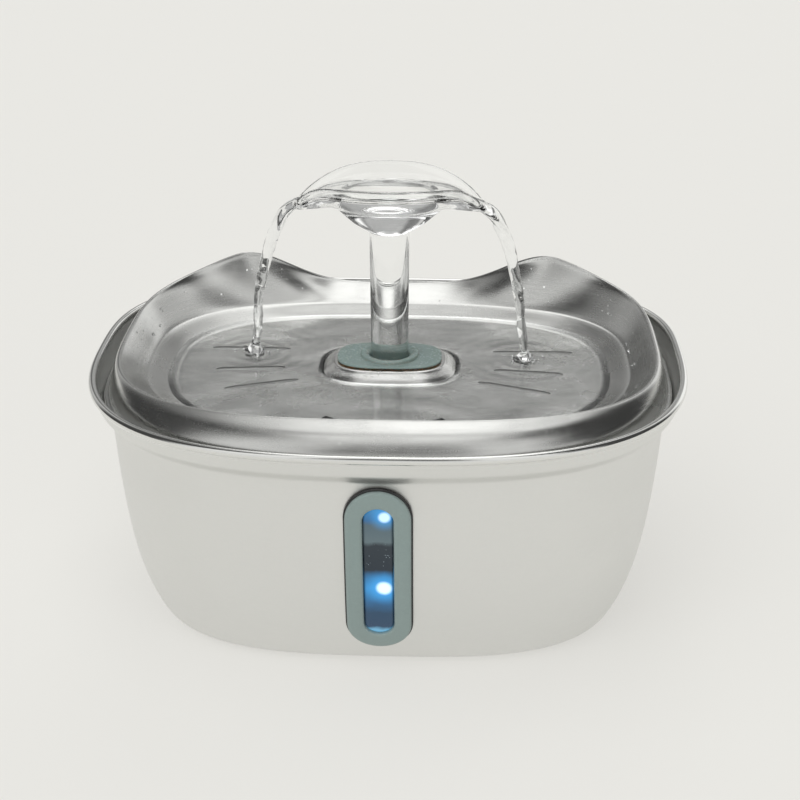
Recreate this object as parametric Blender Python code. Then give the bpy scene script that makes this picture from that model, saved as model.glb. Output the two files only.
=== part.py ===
"""Tabletop water fountain: a steel tub, a drinking tray with a clear two-stream spout, and the pump and filter inside.

Sizes are in millimetres and are turned into metres where a mesh is made. The spout's axis is the middle of
every piece's outline; it stands CENTRE_Y behind the middle of the overall box. +X is right, -Y is the front.
"""

import math
from dataclasses import dataclass, replace

import bmesh
import bpy
from mathutils import Matrix, Vector

MM = 0.001

# Fits and resolution
GAP = 0.3  # between pieces that touch
RUN = 0.15  # round a turning shaft
SLIDE = 0.4  # round a piece that lifts or slides out
RING_POINTS = 48  # points round a large outline
ROUND_POINTS = 16  # points round a small turned piece

# Tub
SHEET = 0.8
RIM_HALF_WIDTH = 105.0
RIM_FRONT = 91.0
RIM_BACK = 73.0
RIM_HEIGHT = 88.8
RIM_BEAD_RADIUS = 1.4
COLLAR_HEIGHT = 8.4
COLLAR_FLARE = 3.1
SHOULDER_DROP = 3.2
SHOULDER_WIDTH = 3.2
WALL_LEAN = 7.2
BASE_TUCK = 8.2
TUCK_POWER = 4.5
BASE_ROUND = 2.6
FOOT_HEIGHT = 1.2
FOOT_RADIUS = 7.0
FOOT_MARGIN = 3.0  # from the edge of the tub's flat base
FOOT_ANGLE = 40.0  # degrees from the side

# Tray
TRAY_DEPTH = 8.0  # its floor below the tub's rim
CREST_RISE = 4.2  # its edge above the tub's rim
CREST_MARGINS = (10.8, 19.6, 5.4)  # inside the rim's outline: side, front, back
EAR_RISE = 8.6
EAR_ANGLE = 46.8  # degrees from +X
BACK_DIP = 4.6
FLOOR_MARGINS = (28.5, 33.5, 25.5)
KINK_RISE = 4.0
KINK_MARGINS = (19.5, 27.0, 18.5)
BOSS_HEIGHT = 3.6
BOSS_MARGIN = (1.4, 1.7)  # beyond the seat's plate: side, front and back
BOSS_SPREAD = 4.8
RIB_LENGTH = 30.0
RIB_RADIUS = 1.3
RIB_PROUD = 0.7
DRAIN_RADIUS = 34.0
DRAIN_SLOTS = 5
DRAIN_SLOT_WIDTH = 2.4

# Spout
TUBE_RADIUS = 6.65
TUBE_FLARE = 0.5  # wider at the top
TUBE_WALL = 1.5
TUBE_SINK = 1.6  # its foot below the tray's floor
STEM_RISE = 44.2  # the funnel's foot above the tub's rim
FUNNEL_HEIGHT = 10.0
FUNNEL_SPREAD = (13.35, 8.35)  # beyond the tube: side, front and back
FUNNEL_WALL = 1.3
DISH_SPREAD = (13.5, 4.4)  # beyond the funnel: side, front and back
DISH_RISE = 9.4
LIP_DROP = 0.6  # the dish's side lips below the funnel's top
NECK_WALL = 2.05
NECK_DROP = 9.8  # the neck's foot below the tray's floor
SEAT_SPREAD = (10.6, 3.3)  # beyond the neck: side, front and back
SEAT_PLATE = 1.2
SEAT_RING_WIDTH = 3.75  # beyond the tube
SEAT_RING_HEIGHT = 2.0

# Level window in the front wall
BEZEL_WIDTH = 21.4
BEZEL_FOOT = 10.7
BEZEL_DROP = 14.3  # its top below the tub's rim
BEZEL_THICKNESS = 1.5
WALL_HOLE_LAP = 2.3
GASKET_THICKNESS = 0.6
GASKET_PROUD = 0.55
SLOT_MARGINS = (11.3, 12.6)  # the bezel's width and height beyond the slot's
SPIGOT_DEPTH = 4.0
LENS_LIP = 0.9
LENS_THICKNESS = 1.5
RETAINER_THICKNESS = 1.6
RETAINER_LAP = 3.0
WINDOW_SCREW_RADIUS = 0.8

# Cable gland in the back wall
GLAND_DROP = 22.8  # below the tub's rim
GLAND_HOLE_RADIUS = 4.4
GLAND_FLANGE = 2.2
GLAND_BORE_RADIUS = 1.9

# Pump
PUMP_BASE = 9.0
PUMP_TOP = 50.5
PUMP_HALF_WIDTH = 24.0
PUMP_FRONT = 13.0
PUMP_BACK = 34.0
OUTLET_WALL = 1.8
OUTLET_DROP = 2.2  # its top below the tube's foot
CHAMBER_SEAT = 1.3  # width of the impeller cover's rim beyond the chamber
CHAMBER_DEPTH = 14.0
ROTOR_SHARE = 0.1783  # its radius, of the pump's height
ROTOR_LENGTH = 18.0
WELL_WALL = 1.5
POCKET_WALL = 3.0  # round the motor's pocket
SHAFT_RADIUS = 1.0
BLADES = 6
NOSE_DEPTH = 11.0
NOSE_HALF_WIDTH = 8.0
NOSE_TOP = 16.4
LED_RADIUS = 2.5
COVER_HALF_WIDTH = 21.0
COVER_DEPTH = 14.0
COVER_WALL = 1.4
KNOB_RADIUS = 5.0
KNOB_THICKNESS = 3.0
CUP_RADIUS = 6.0
CUP_X = 15.0

# Filter
FILTER_HALF_WIDTH = 62.0
FILTER_HALF_DEPTH = 44.0
FILTER_WALL = 1.6
FILTER_DROP = 4.4  # its top below the tray's floor
LID_THICKNESS = 1.3
LID_LIP = 2.0

# Places that follow from the sizes above
CENTRE_Y = (RIM_FRONT - RIM_BACK) / 2
TUB_BASE = FOOT_HEIGHT + GAP
CREASE = RIM_HEIGHT - COLLAR_HEIGHT
SHOULDER_FOOT = CREASE - SHOULDER_DROP
SHOULDER_INSET = COLLAR_FLARE + SHOULDER_WIDTH
TRAY_FLOOR = RIM_HEIGHT - TRAY_DEPTH
CREST = RIM_HEIGHT + CREST_RISE
CREST_HALF_WIDTH, CREST_FRONT, CREST_BACK = (
    size - margin for size, margin in zip((RIM_HALF_WIDTH, RIM_FRONT, RIM_BACK), CREST_MARGINS)
)
KINK_HALF_WIDTH, KINK_FRONT, KINK_BACK = (
    size - margin for size, margin in zip((RIM_HALF_WIDTH, RIM_FRONT, RIM_BACK), KINK_MARGINS)
)
FLOOR_HALF_WIDTH, FLOOR_FRONT, FLOOR_BACK = (
    size - margin for size, margin in zip((RIM_HALF_WIDTH, RIM_FRONT, RIM_BACK), FLOOR_MARGINS)
)
TUBE_TOP_RADIUS = TUBE_RADIUS + TUBE_FLARE
TUBE_FOOT = TRAY_FLOOR - TUBE_SINK
FUNNEL_FOOT = RIM_HEIGHT + STEM_RISE
FUNNEL_TOP = FUNNEL_FOOT + FUNNEL_HEIGHT
FUNNEL_HALF_WIDTH = TUBE_RADIUS + FUNNEL_SPREAD[0]
FUNNEL_HALF_DEPTH = TUBE_RADIUS + FUNNEL_SPREAD[1]
DISH_HALF_WIDTH = FUNNEL_HALF_WIDTH + DISH_SPREAD[0]
DISH_HALF_DEPTH = FUNNEL_HALF_DEPTH + DISH_SPREAD[1]
DISH_TOP = FUNNEL_TOP + DISH_RISE
DISH_LIP = FUNNEL_TOP - LIP_DROP
NECK_RADIUS = TUBE_RADIUS + GAP + NECK_WALL
NECK_FOOT = TRAY_FLOOR - NECK_DROP
SEAT_HALF_WIDTH = NECK_RADIUS + SEAT_SPREAD[0]
SEAT_HALF_DEPTH = NECK_RADIUS + SEAT_SPREAD[1]
SEAT_RING_RADIUS = TUBE_RADIUS + SEAT_RING_WIDTH
BOSS_HALF_WIDTH = SEAT_HALF_WIDTH + BOSS_MARGIN[0]
BOSS_HALF_DEPTH = SEAT_HALF_DEPTH + BOSS_MARGIN[1]
BEZEL_TOP = RIM_HEIGHT - BEZEL_DROP
SLOT_WIDTH = BEZEL_WIDTH - SLOT_MARGINS[0]
SLOT_HEIGHT = BEZEL_TOP - BEZEL_FOOT - SLOT_MARGINS[1]
GLAND_HEIGHT = RIM_HEIGHT - GLAND_DROP
OUTLET_RADIUS = TUBE_RADIUS - GAP / 2
OUTLET_BORE = OUTLET_RADIUS - OUTLET_WALL
OUTLET_TOP = TUBE_FOOT - OUTLET_DROP
COVER_TOP = PUMP_TOP - GAP
FILTER_TOP = TRAY_FLOOR - FILTER_DROP
BOSS_TOP = TRAY_FLOOR + BOSS_HEIGHT
SEAT_FOOT = BOSS_TOP + GAP
SEAT_TOP = SEAT_FOOT + SEAT_PLATE
ROTOR_RADIUS = ROTOR_SHARE * (PUMP_TOP - PUMP_BASE)
WELL_RADIUS = ROTOR_RADIUS + 0.8
COVER_FOOT = NOSE_TOP + GAP
IMPELLER_HEIGHT = (COVER_FOOT + COVER_TOP) / 2
IMPELLER_COVER_RADIUS = (COVER_TOP - COVER_FOOT) / 2 - COVER_WALL - GAP
CHAMBER_RADIUS = IMPELLER_COVER_RADIUS - CHAMBER_SEAT
BLADE_RADIUS = CHAMBER_RADIUS - 1.4
STATOR_RADIUS = PUMP_TOP - POCKET_WALL - IMPELLER_HEIGHT - GAP
COLOURS = {}


@dataclass(frozen=True)
class Outline:
    """A closed plan outline: superellipse halves that meet at the sides."""

    half_width: float
    front: float
    back: float
    front_power: float = 2.0
    back_power: float = 2.0

    def inset(self, distance):
        return replace(
            self,
            half_width=self.half_width - distance,
            front=self.front - distance,
            back=self.back - distance,
        )

    def at(self, height, count=RING_POINTS):
        """The outline as a ring; height is a number or a function of the angle in radians."""
        ring = []
        for i in range(count):
            angle = math.tau * i / count
            ring.append(self.point(angle, height(angle) if callable(height) else height))
        return ring

    def point(self, angle, height):
        depth, power = (self.back, self.back_power) if angle <= math.pi else (self.front, self.front_power)
        across = (abs(math.cos(angle)) / self.half_width) ** power
        along = (abs(math.sin(angle)) / depth) ** power
        reach = (across + along) ** (-1 / power)
        return Vector((reach * math.cos(angle), reach * math.sin(angle), height))


def circle(radius, height, count=RING_POINTS):
    return Outline(radius, radius, radius).at(height, count)


def oval(half_width, half_depth, power=2.0):
    return Outline(half_width, half_depth, half_depth, power, power)


def material(name, colour, roughness, metallic=0.0, alpha=1.0):
    """One Principled material for each finish, made the first time it is asked for."""
    if name not in COLOURS:
        made = bpy.data.materials.new(name)
        made.use_nodes = True
        shader = made.node_tree.nodes["Principled BSDF"]
        shader.inputs["Base Color"].default_value = (*colour, 1.0)
        shader.inputs["Roughness"].default_value = roughness
        shader.inputs["Metallic"].default_value = metallic
        shader.inputs["Alpha"].default_value = alpha
        COLOURS[name] = made
    return COLOURS[name]


def steel():
    return material("steel", (0.62, 0.62, 0.60), 0.32, 1.0)


def clear_plastic():
    return material("clear_plastic", (0.92, 0.95, 0.94), 0.05, alpha=0.3)


def black_plastic():
    return material("black_plastic", (0.03, 0.03, 0.035), 0.45)


def silicone():
    return material("silicone", (0.52, 0.64, 0.62), 0.5)


def white_plastic():
    return material("white_plastic", (0.82, 0.83, 0.82), 0.4)


def rubber():
    return material("rubber", (0.02, 0.02, 0.02), 0.7)


def bezel_plastic():
    return material("bezel_plastic", (0.30, 0.36, 0.34), 0.4)


def add_object(name, bm, finish, origin=(0.0, 0.0, 0.0), sharp=35.0):
    """Makes the object from millimetres, with its origin at a point of its own axis."""
    bmesh.ops.recalc_face_normals(bm, faces=bm.faces)
    origin = Vector(origin)
    bmesh.ops.translate(bm, vec=-origin, verts=bm.verts)
    bmesh.ops.scale(bm, vec=(MM, MM, MM), verts=bm.verts)
    mesh = bpy.data.meshes.new(name)
    bm.to_mesh(mesh)
    bm.free()
    mesh.shade_smooth()
    mesh.set_sharp_from_angle(angle=math.radians(sharp))
    mesh.materials.append(finish)
    obj = bpy.data.objects.new(name, mesh)
    obj.location = (origin + Vector((0.0, CENTRE_Y, 0.0))) * MM
    bpy.context.scene.collection.objects.link(obj)
    return obj


def ring_mesh(rings, loop=False, bm=None):
    """Bridges rings of equal length; the ends are capped, or joined to each other where loop is set."""
    bm = bm or bmesh.new()
    made = [[bm.verts.new(point) for point in ring] for ring in rings]
    pairs = list(zip(made, made[1:] + made[:1])) if loop else list(zip(made, made[1:]))
    count = len(made[0])
    for low, high in pairs:
        for i in range(count):
            j = (i + 1) % count
            bm.faces.new((low[i], low[j], high[j], high[i]))
    if not loop:
        bm.faces.new(made[0])
        bm.faces.new(made[-1])
    return bm


def turned(profile, axis="Z", centre=(0.0, 0.0, 0.0), loop=False, count=ROUND_POINTS, bm=None):
    """Rings of (radius, distance along the axis) turned about an axis through centre."""
    turn = {"X": Matrix.Rotation(math.pi / 2, 3, "Y"), "Y": Matrix.Rotation(-math.pi / 2, 3, "X")}.get(axis)
    rings = []
    for radius, along in profile:
        ring = circle(radius, along, count)
        if turn:
            ring = [turn @ point for point in ring]
        rings.append([Vector(centre) + point for point in ring])
    return ring_mesh(rings, loop, bm)


def block(low, high, bevel=0.0, bm=None):
    """A box from its lowest to its highest corner, with its edges rounded off."""
    bm = bm or bmesh.new()
    low, high = Vector(low), Vector(high)
    made = bmesh.ops.create_cube(bm, size=1.0)["verts"]
    bmesh.ops.scale(bm, vec=high - low, verts=made)
    bmesh.ops.translate(bm, vec=(low + high) / 2, verts=made)
    if bevel:
        edges = {edge for vert in made for edge in vert.link_edges}
        bmesh.ops.bevel(bm, geom=list(edges), offset=bevel, segments=2, affect="EDGES", profile=0.5)
    return bm


def combine(obj, name, bm, operation):
    """Cuts the tool's shape from the object, or joins it on; the tool stays in the file as a wire guide."""
    tool = add_object(name, bm, obj.data.materials[0])
    tool.hide_render = True
    tool.display_type = "WIRE"
    modifier = obj.modifiers.new(name, "BOOLEAN")
    modifier.operation = operation
    modifier.object = tool
    return obj


def cut(obj, name, bm):
    return combine(obj, name, bm, "DIFFERENCE")


def join(obj, name, bm):
    return combine(obj, name, bm, "UNION")


def thickened(rings, thickness):
    """The same rings moved inwards by a sheet's thickness, square to the profile at every angle."""
    moved = []
    for i, ring in enumerate(rings):
        before, after = rings[max(i - 1, 0)], rings[min(i + 1, len(rings) - 1)]
        inner = []
        for j, point in enumerate(ring):
            normal = Vector((0.0, 0.0))
            for start, end in ((before[j], point), (point, after[j])):
                run, rise = end.xy.length - start.xy.length, end.z - start.z
                size = math.hypot(run, rise)
                if size > 1e-6:
                    normal += Vector((-rise, run)) / size
            normal.normalize()
            outward = point.xy.normalized()
            shift = outward * normal.x * thickness
            inner.append(Vector((point.x + shift.x, point.y + shift.y, point.z + normal.y * thickness)))
        moved.append(inner)
    return moved


# Tub -----------------------------------------------------------------------------------------------------------


def wall_inset(height):
    """How far the wall's outer face stands inside the rim's outline at a height below the shoulder."""
    low = 1 - (height - TUB_BASE) / (CREASE - TUB_BASE)
    return SHOULDER_INSET + WALL_LEAN * low + BASE_TUCK * max(low, 0.0) ** TUCK_POWER


def tub_outline(height, inset):
    share = min(max((height - TUB_BASE) / (CREASE - TUB_BASE), 0.0), 1.0)
    front_power = 3.1 + (2.7 - 3.1) * share
    back_power = 3.0 + (2.9 - 3.0) * share
    return Outline(RIM_HALF_WIDTH, RIM_FRONT, RIM_BACK, front_power, back_power).inset(inset)


def tub_ring(height, inset):
    return tub_outline(height, inset).at(height)


def tub_wall_rings():
    """The outer face from the flat base up to the foot of the rim's bead."""
    foot = wall_inset(TUB_BASE)
    rings = [
        tub_ring(TUB_BASE, foot + BASE_ROUND),
        tub_ring(TUB_BASE + 0.25, foot + BASE_ROUND * 0.4),
        tub_ring(TUB_BASE + 1.3, foot - 0.4),
    ]
    for share in (0.06, 0.13, 0.22, 0.34, 0.5, 0.7):
        height = TUB_BASE + (CREASE - TUB_BASE) * share
        rings.append(tub_ring(height, wall_inset(height)))
    rings.append(tub_ring(SHOULDER_FOOT - 1.0, wall_inset(SHOULDER_FOOT - 1.0)))
    rings.append(tub_ring(SHOULDER_FOOT + 0.4, SHOULDER_INSET - 0.3))
    rings.append(tub_ring(CREASE - 0.2, COLLAR_FLARE + 0.3))
    rings.append(tub_ring(CREASE + 0.8, COLLAR_FLARE - 0.4))
    bead_foot = RIM_HEIGHT - 2 * RIM_BEAD_RADIUS
    rings.append(tub_ring(bead_foot - 0.6, RIM_BEAD_RADIUS * 0.75))
    return rings


def make_tub():
    outer = tub_wall_rings()
    inner = thickened(outer, SHEET)
    bead = []
    for step in range(7):
        angle = math.radians(-55 + 45 * step)
        inset = RIM_BEAD_RADIUS * (1 - math.cos(angle))
        height = RIM_HEIGHT - RIM_BEAD_RADIUS * (1 - math.sin(angle))
        bead.append(tub_ring(height, inset))
    tub = add_object("tub", ring_mesh(outer + bead[:6] + inner[::-1]), steel(), sharp=60)
    cut(tub, "window_hole", stadium_prism(wall_hole_size(), -RIM_FRONT - 5, -RIM_FRONT + 25))
    cut(tub, "gland_hole", gland_turned([(GLAND_HOLE_RADIUS, -6.0), (GLAND_HOLE_RADIUS, 6.0)]))
    return tub


def make_feet():
    base = tub_outline(TUB_BASE, wall_inset(TUB_BASE) + BASE_ROUND + FOOT_MARGIN + FOOT_RADIUS)
    corners = {
        "back_right": FOOT_ANGLE,
        "back_left": 180 - FOOT_ANGLE,
        "front_left": 180 + FOOT_ANGLE,
        "front_right": 360 - FOOT_ANGLE,
    }
    for corner, angle in corners.items():
        centre = base.point(math.radians(angle), 0.0)
        profile = [(FOOT_RADIUS - 0.3, 0.0), (FOOT_RADIUS, 0.3), (FOOT_RADIUS, FOOT_HEIGHT)]
        add_object(f"foot_{corner}", turned(profile, centre=centre), rubber(), centre)


# Level window --------------------------------------------------------------------------------------------------


def wall_face(height):
    """How far in front of the spout's axis the tub's outer face stands on the centre line."""
    return RIM_FRONT - wall_inset(height)


def stadium_size(width, foot, top):
    return (width / 2, foot, top)


def bezel_size(grow=0.0):
    return stadium_size(BEZEL_WIDTH + 2 * grow, BEZEL_FOOT - grow, BEZEL_TOP + grow)


def wall_hole_size(grow=0.0):
    return bezel_size(grow - WALL_HOLE_LAP)


def slot_size(grow=0.0):
    middle = (BEZEL_FOOT + BEZEL_TOP) / 2
    half = SLOT_HEIGHT / 2 + grow
    return stadium_size(SLOT_WIDTH + 2 * grow, middle - half, middle + half)


def stadium(size, arc_steps=6, side_steps=5):
    """An upright stadium as (x, z) points from its top, clockwise, with matching points left and right."""
    half, foot, top = size
    right = []
    for i in range(arc_steps + 1):
        angle = math.pi / 2 * (1 - i / arc_steps)
        right.append((half * math.cos(angle), top - half + half * math.sin(angle)))
    for i in range(1, side_steps):
        right.append((half, top - half + (foot - top + 2 * half) * i / side_steps))
    for i in range(arc_steps + 1):
        angle = -math.pi / 2 * i / arc_steps
        right.append((half * math.cos(angle), foot + half + half * math.sin(angle)))
    right[0], right[-1] = (0.0, top), (0.0, foot)
    left = [(-x, z) for x, z in right[-2:0:-1]]
    return right + left


def window_ring(size, outwards):
    """A stadium laid on the front wall, a distance outwards from the wall's outer face."""
    return [Vector((x, -wall_face(z) - outwards, z)) for x, z in stadium(size)]


def stadium_prism(size, start, end):
    return ring_mesh([[Vector((x, y, z)) for x, z in stadium(size)] for y in (start, end)])


def capped_stack(rings):
    """Bridged stadium rings whose ends are closed by strips between matching points."""
    bm = bmesh.new()
    made = [[bm.verts.new(point) for point in ring] for ring in rings]
    count = len(made[0])
    for low, high in zip(made, made[1:]):
        for i in range(count):
            j = (i + 1) % count
            bm.faces.new((low[i], low[j], high[j], high[i]))
    for ring in (made[0], made[-1]):
        bm.faces.new((ring[0], ring[1], ring[-1]))
        for i in range(1, count // 2 - 1):
            bm.faces.new((ring[i], ring[i + 1], ring[-i - 1], ring[-i]))
        half = count // 2
        bm.faces.new((ring[half - 1], ring[half], ring[half + 1]))
    return bm


def make_window():
    gasket_back, gasket_front = GAP, GAP + GASKET_THICKNESS
    flange_back = gasket_front + GAP
    flange_front = flange_back + BEZEL_THICKNESS
    spigot = wall_hole_size(-SLIDE)
    gasket = [
        window_ring(bezel_size(GASKET_PROUD), gasket_back),
        window_ring(bezel_size(GASKET_PROUD), gasket_front),
        window_ring(wall_hole_size(0.2), gasket_front),
        window_ring(wall_hole_size(0.2), gasket_back),
    ]
    add_object("window_gasket", ring_mesh(gasket, loop=True), rubber())
    bezel = [
        window_ring(bezel_size(), flange_back),
        window_ring(bezel_size(), flange_front - 0.5),
        window_ring(bezel_size(-0.5), flange_front),
        window_ring(slot_size(0.5), flange_front),
        window_ring(slot_size(), flange_front - 0.5),
        window_ring(slot_size(), -SPIGOT_DEPTH),
        window_ring(spigot, -SPIGOT_DEPTH),
        window_ring(spigot, flange_back),
    ]
    bezel = add_object("window_bezel", ring_mesh(bezel, loop=True), bezel_plastic())
    lens_front = flange_front - 1.1
    lens_step = -SPIGOT_DEPTH - GAP
    lens_back = lens_step - LENS_THICKNESS
    lens = [
        window_ring(slot_size(-GAP), lens_front),
        window_ring(slot_size(-GAP), lens_step),
        window_ring(slot_size(LENS_LIP), lens_step),
        window_ring(slot_size(LENS_LIP), lens_back),
    ]
    add_object("window_lens", capped_stack(lens), material("lens", (0.02, 0.10, 0.22), 0.08))
    grip = -SHEET - GAP
    shelf = lens_back - GAP
    retainer_back = shelf - RETAINER_THICKNESS
    retainer = [
        window_ring(wall_hole_size(RETAINER_LAP), grip),
        window_ring(wall_hole_size(-SLIDE + GAP), grip),
        window_ring(wall_hole_size(-SLIDE + GAP), -SPIGOT_DEPTH - GAP),
        window_ring(slot_size(LENS_LIP + GAP), -SPIGOT_DEPTH - GAP),
        window_ring(slot_size(LENS_LIP + GAP), shelf),
        window_ring(slot_size(-0.4), shelf),
        window_ring(slot_size(-0.4), retainer_back),
        window_ring(wall_hole_size(RETAINER_LAP), retainer_back),
    ]
    retainer = add_object("window_retainer", ring_mesh(retainer, loop=True), black_plastic())
    screw_room = (spigot[2] - slot_size(LENS_LIP)[2]) / 2
    for end, height in (
        ("upper", spigot[2] - screw_room * 0.85),
        ("lower", spigot[1] + screw_room * 0.85),
    ):
        add_window_screw(end, height, bezel, retainer, retainer_back)


def add_window_screw(end, height, bezel, retainer, retainer_back):
    """A small screw from behind, through the retainer into the bezel's spigot."""
    head = WINDOW_SCREW_RADIUS * 2
    rearmost = max(-wall_face(height + step * head) for step in (-1, 0, 1))
    back = rearmost - retainer_back + GAP
    reach = back + wall_face(height) - 2.0
    place = (0.0, back, height)
    hole = WINDOW_SCREW_RADIUS + 0.2
    for owner, obj in (("bezel", bezel), ("retainer", retainer)):
        cut(obj, f"{owner}_{end}_hole", turned([(hole, -reach - 0.5), (hole, 4.0)], "Y", place, count=12))
    profile = [
        (WINDOW_SCREW_RADIUS, -reach),
        (WINDOW_SCREW_RADIUS, 0.0),
        (head, 0.0),
        (head, 0.8),
        (head * 0.75, 1.2),
    ]
    finish = material("screw_steel", (0.55, 0.55, 0.56), 0.3, 1.0)
    add_object(f"window_screw_{end}", turned(profile, "Y", place, count=12), finish, place)


# Cable gland ---------------------------------------------------------------------------------------------------


def gland_turned(profile, loop=False):
    """A piece turned about the line square to the back wall at the gland's height."""
    step = 1.0
    lean = math.atan((wall_inset(GLAND_HEIGHT - step) - wall_inset(GLAND_HEIGHT + step)) / (2 * step))
    place = Vector((0.0, RIM_BACK - wall_inset(GLAND_HEIGHT), GLAND_HEIGHT))
    bm = turned(profile, "Y", loop=loop)
    bmesh.ops.rotate(bm, cent=(0, 0, 0), matrix=Matrix.Rotation(-lean, 3, "X"), verts=bm.verts)
    bmesh.ops.translate(bm, vec=place, verts=bm.verts)
    return bm


def make_gland():
    neck = GLAND_HOLE_RADIUS - GAP
    outer = GLAND_HOLE_RADIUS + GLAND_FLANGE
    profile = [
        (GLAND_BORE_RADIUS, -SHEET - 2.2),
        (outer - 0.6, -SHEET - 2.2),
        (outer - 0.6, -SHEET - GAP - 0.1),
        (neck, -SHEET - GAP - 0.1),
        (neck, GAP + 0.1),
        (outer, GAP + 0.1),
        (outer, 1.6),
        (GLAND_BORE_RADIUS + 1.6, 3.4),
        (GLAND_BORE_RADIUS, 3.4),
    ]
    add_object("cable_gland", gland_turned(profile, loop=True), rubber())


# Tray ----------------------------------------------------------------------------------------------------------


def crest_height(angle):
    """The height of the tray's edge: level at the front and sides, an ear at each back corner, a dip between."""
    if angle > math.pi:
        return CREST
    angle = math.degrees(min(angle, math.pi - angle))
    away = abs(angle - EAR_ANGLE)
    if angle < EAR_ANGLE:
        return CREST + EAR_RISE * math.exp(-((away / 11.9) ** 1.5))
    return CREST - BACK_DIP + (EAR_RISE + BACK_DIP) * math.exp(-((away / 14.7) ** 1.9))


def partway(low, share):
    """Heights a share of the way from a level up to the tray's edge."""
    return lambda angle: low + (crest_height(angle) - low) * share


def tray_top_rings():
    """The tray's upper face, from the hole in its boss out over the edge and down the skirt."""
    boss = oval(BOSS_HALF_WIDTH, BOSS_HALF_DEPTH, 3.6)
    floor = Outline(FLOOR_HALF_WIDTH, FLOOR_FRONT, FLOOR_BACK, 2.6, 2.7)
    kink = Outline(KINK_HALF_WIDTH, KINK_FRONT, KINK_BACK, 2.7, 2.9)
    crest = Outline(CREST_HALF_WIDTH, CREST_FRONT, CREST_BACK, 3.0, 3.6)
    skirt = tub_outline(CREASE, SHOULDER_INSET + 0.7)
    kink_height = TRAY_FLOOR + KINK_RISE
    between = Outline(
        (KINK_HALF_WIDTH + CREST_HALF_WIDTH) / 2,
        (KINK_FRONT + CREST_FRONT) / 2,
        (KINK_BACK + CREST_BACK) / 2 + 1.0,
        2.85,
        3.3,
    )
    roll = Outline(
        CREST_HALF_WIDTH + (skirt.half_width - CREST_HALF_WIDTH) * 0.55,
        CREST_FRONT + (skirt.front - CREST_FRONT) * 0.55,
        CREST_BACK + (skirt.back - CREST_BACK) * 0.55,
        2.8,
        3.2,
    )
    skirt_foot = TRAY_FLOOR + 1.6
    lip = tub_outline(CREASE, COLLAR_FLARE + SHEET + 1.0)
    return [
        circle(NECK_RADIUS + GAP, BOSS_TOP),
        boss.inset(0.9).at(BOSS_TOP),
        boss.at(BOSS_TOP - 0.5),
        boss.inset(-BOSS_SPREAD * 0.85).at(TRAY_FLOOR + 0.4),
        boss.inset(-BOSS_SPREAD - 0.6).at(TRAY_FLOOR),
        floor.at(TRAY_FLOOR),
        floor.inset(-1.6).at(TRAY_FLOOR + 0.5),
        kink.inset(0.8).at(kink_height - 0.4),
        kink.inset(-0.5).at(kink_height + 0.1),
        between.at(partway(kink_height, 0.5)),
        crest.inset(0.9).at(partway(kink_height, 0.9)),
        crest.at(crest_height),
        crest.inset(-0.9).at(partway(kink_height, 0.96)),
        roll.at(partway(skirt_foot, 0.78)),
        skirt.inset(0.6).at(partway(skirt_foot, 0.38)),
        skirt.at(partway(skirt_foot, 0.1)),
        skirt.inset(-0.3).at(skirt_foot - 0.6),
        lip.at(CREASE + SHEET + 0.3),
    ]


def rib_lines():
    """Middle, length and heading in degrees of each rib on the tray's floor, as (x, y, length, turn)."""
    rows = ((52.0, 14.5, 1.0, 1.0), (50.0, -4.0, 0.85, -6.0), (44.5, -18.0, 0.92, -20.0))
    for x, y, share, turn in rows:
        for side in (-1, 1):
            yield side * x, y, RIB_LENGTH * share, side * turn


def rib_tool():
    """All the ribs: low bars with round ends, sunk into the floor so that they stand a little proud."""
    bm = bmesh.new()
    for x, y, length, turn in rib_lines():
        half = length / 2 - RIB_RADIUS
        rings = []
        for along, share in ((-half - 1.0, 0.35), (-half, 1.0), (half, 1.0), (half + 1.0, 0.35)):
            ring = []
            for i in range(8):
                angle = math.tau * i / 8
                sunk = TRAY_FLOOR - SHEET / 2 + (SHEET / 2 + RIB_PROUD) * share * max(math.sin(angle), -0.3)
                ring.append(Vector((along, RIB_RADIUS * share * math.cos(angle), sunk)))
            rings.append(ring)
        turn = Matrix.Rotation(math.radians(turn), 3, "Z")
        ring_mesh([[turn @ p + Vector((x, y, 0.0)) for p in ring] for ring in rings], bm=bm)
    return bm


def drain_slots():
    """Arc-shaped slots near the front of the floor."""
    bm = bmesh.new()
    centre_y = -FLOOR_FRONT + DRAIN_RADIUS + 7.5
    for i in range(DRAIN_SLOTS):
        middle = -90 + (i - (DRAIN_SLOTS - 1) / 2) * 15.0
        rings = []
        for height in (TRAY_FLOOR - SHEET - 1.0, TRAY_FLOOR + 1.0):
            ring = []
            for radius, order in ((DRAIN_RADIUS, 1), (DRAIN_RADIUS + DRAIN_SLOT_WIDTH, -1)):
                for step in (-2, -1, 0, 1, 2)[::order]:
                    angle = math.radians(middle + step * 2.6)
                    point = (radius * math.cos(angle), centre_y + radius * math.sin(angle), height)
                    ring.append(Vector(point))
            rings.append(ring)
        ring_mesh(rings, bm=bm)
    return bm


def make_tray():
    top = tray_top_rings()
    under = thickened(top, -SHEET)
    tray = add_object("tray", ring_mesh(top + under[::-1], loop=True), steel(), sharp=50)
    join(tray, "ribs", rib_tool())
    cut(tray, "drain", drain_slots())


# Spout ---------------------------------------------------------------------------------------------------------


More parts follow.
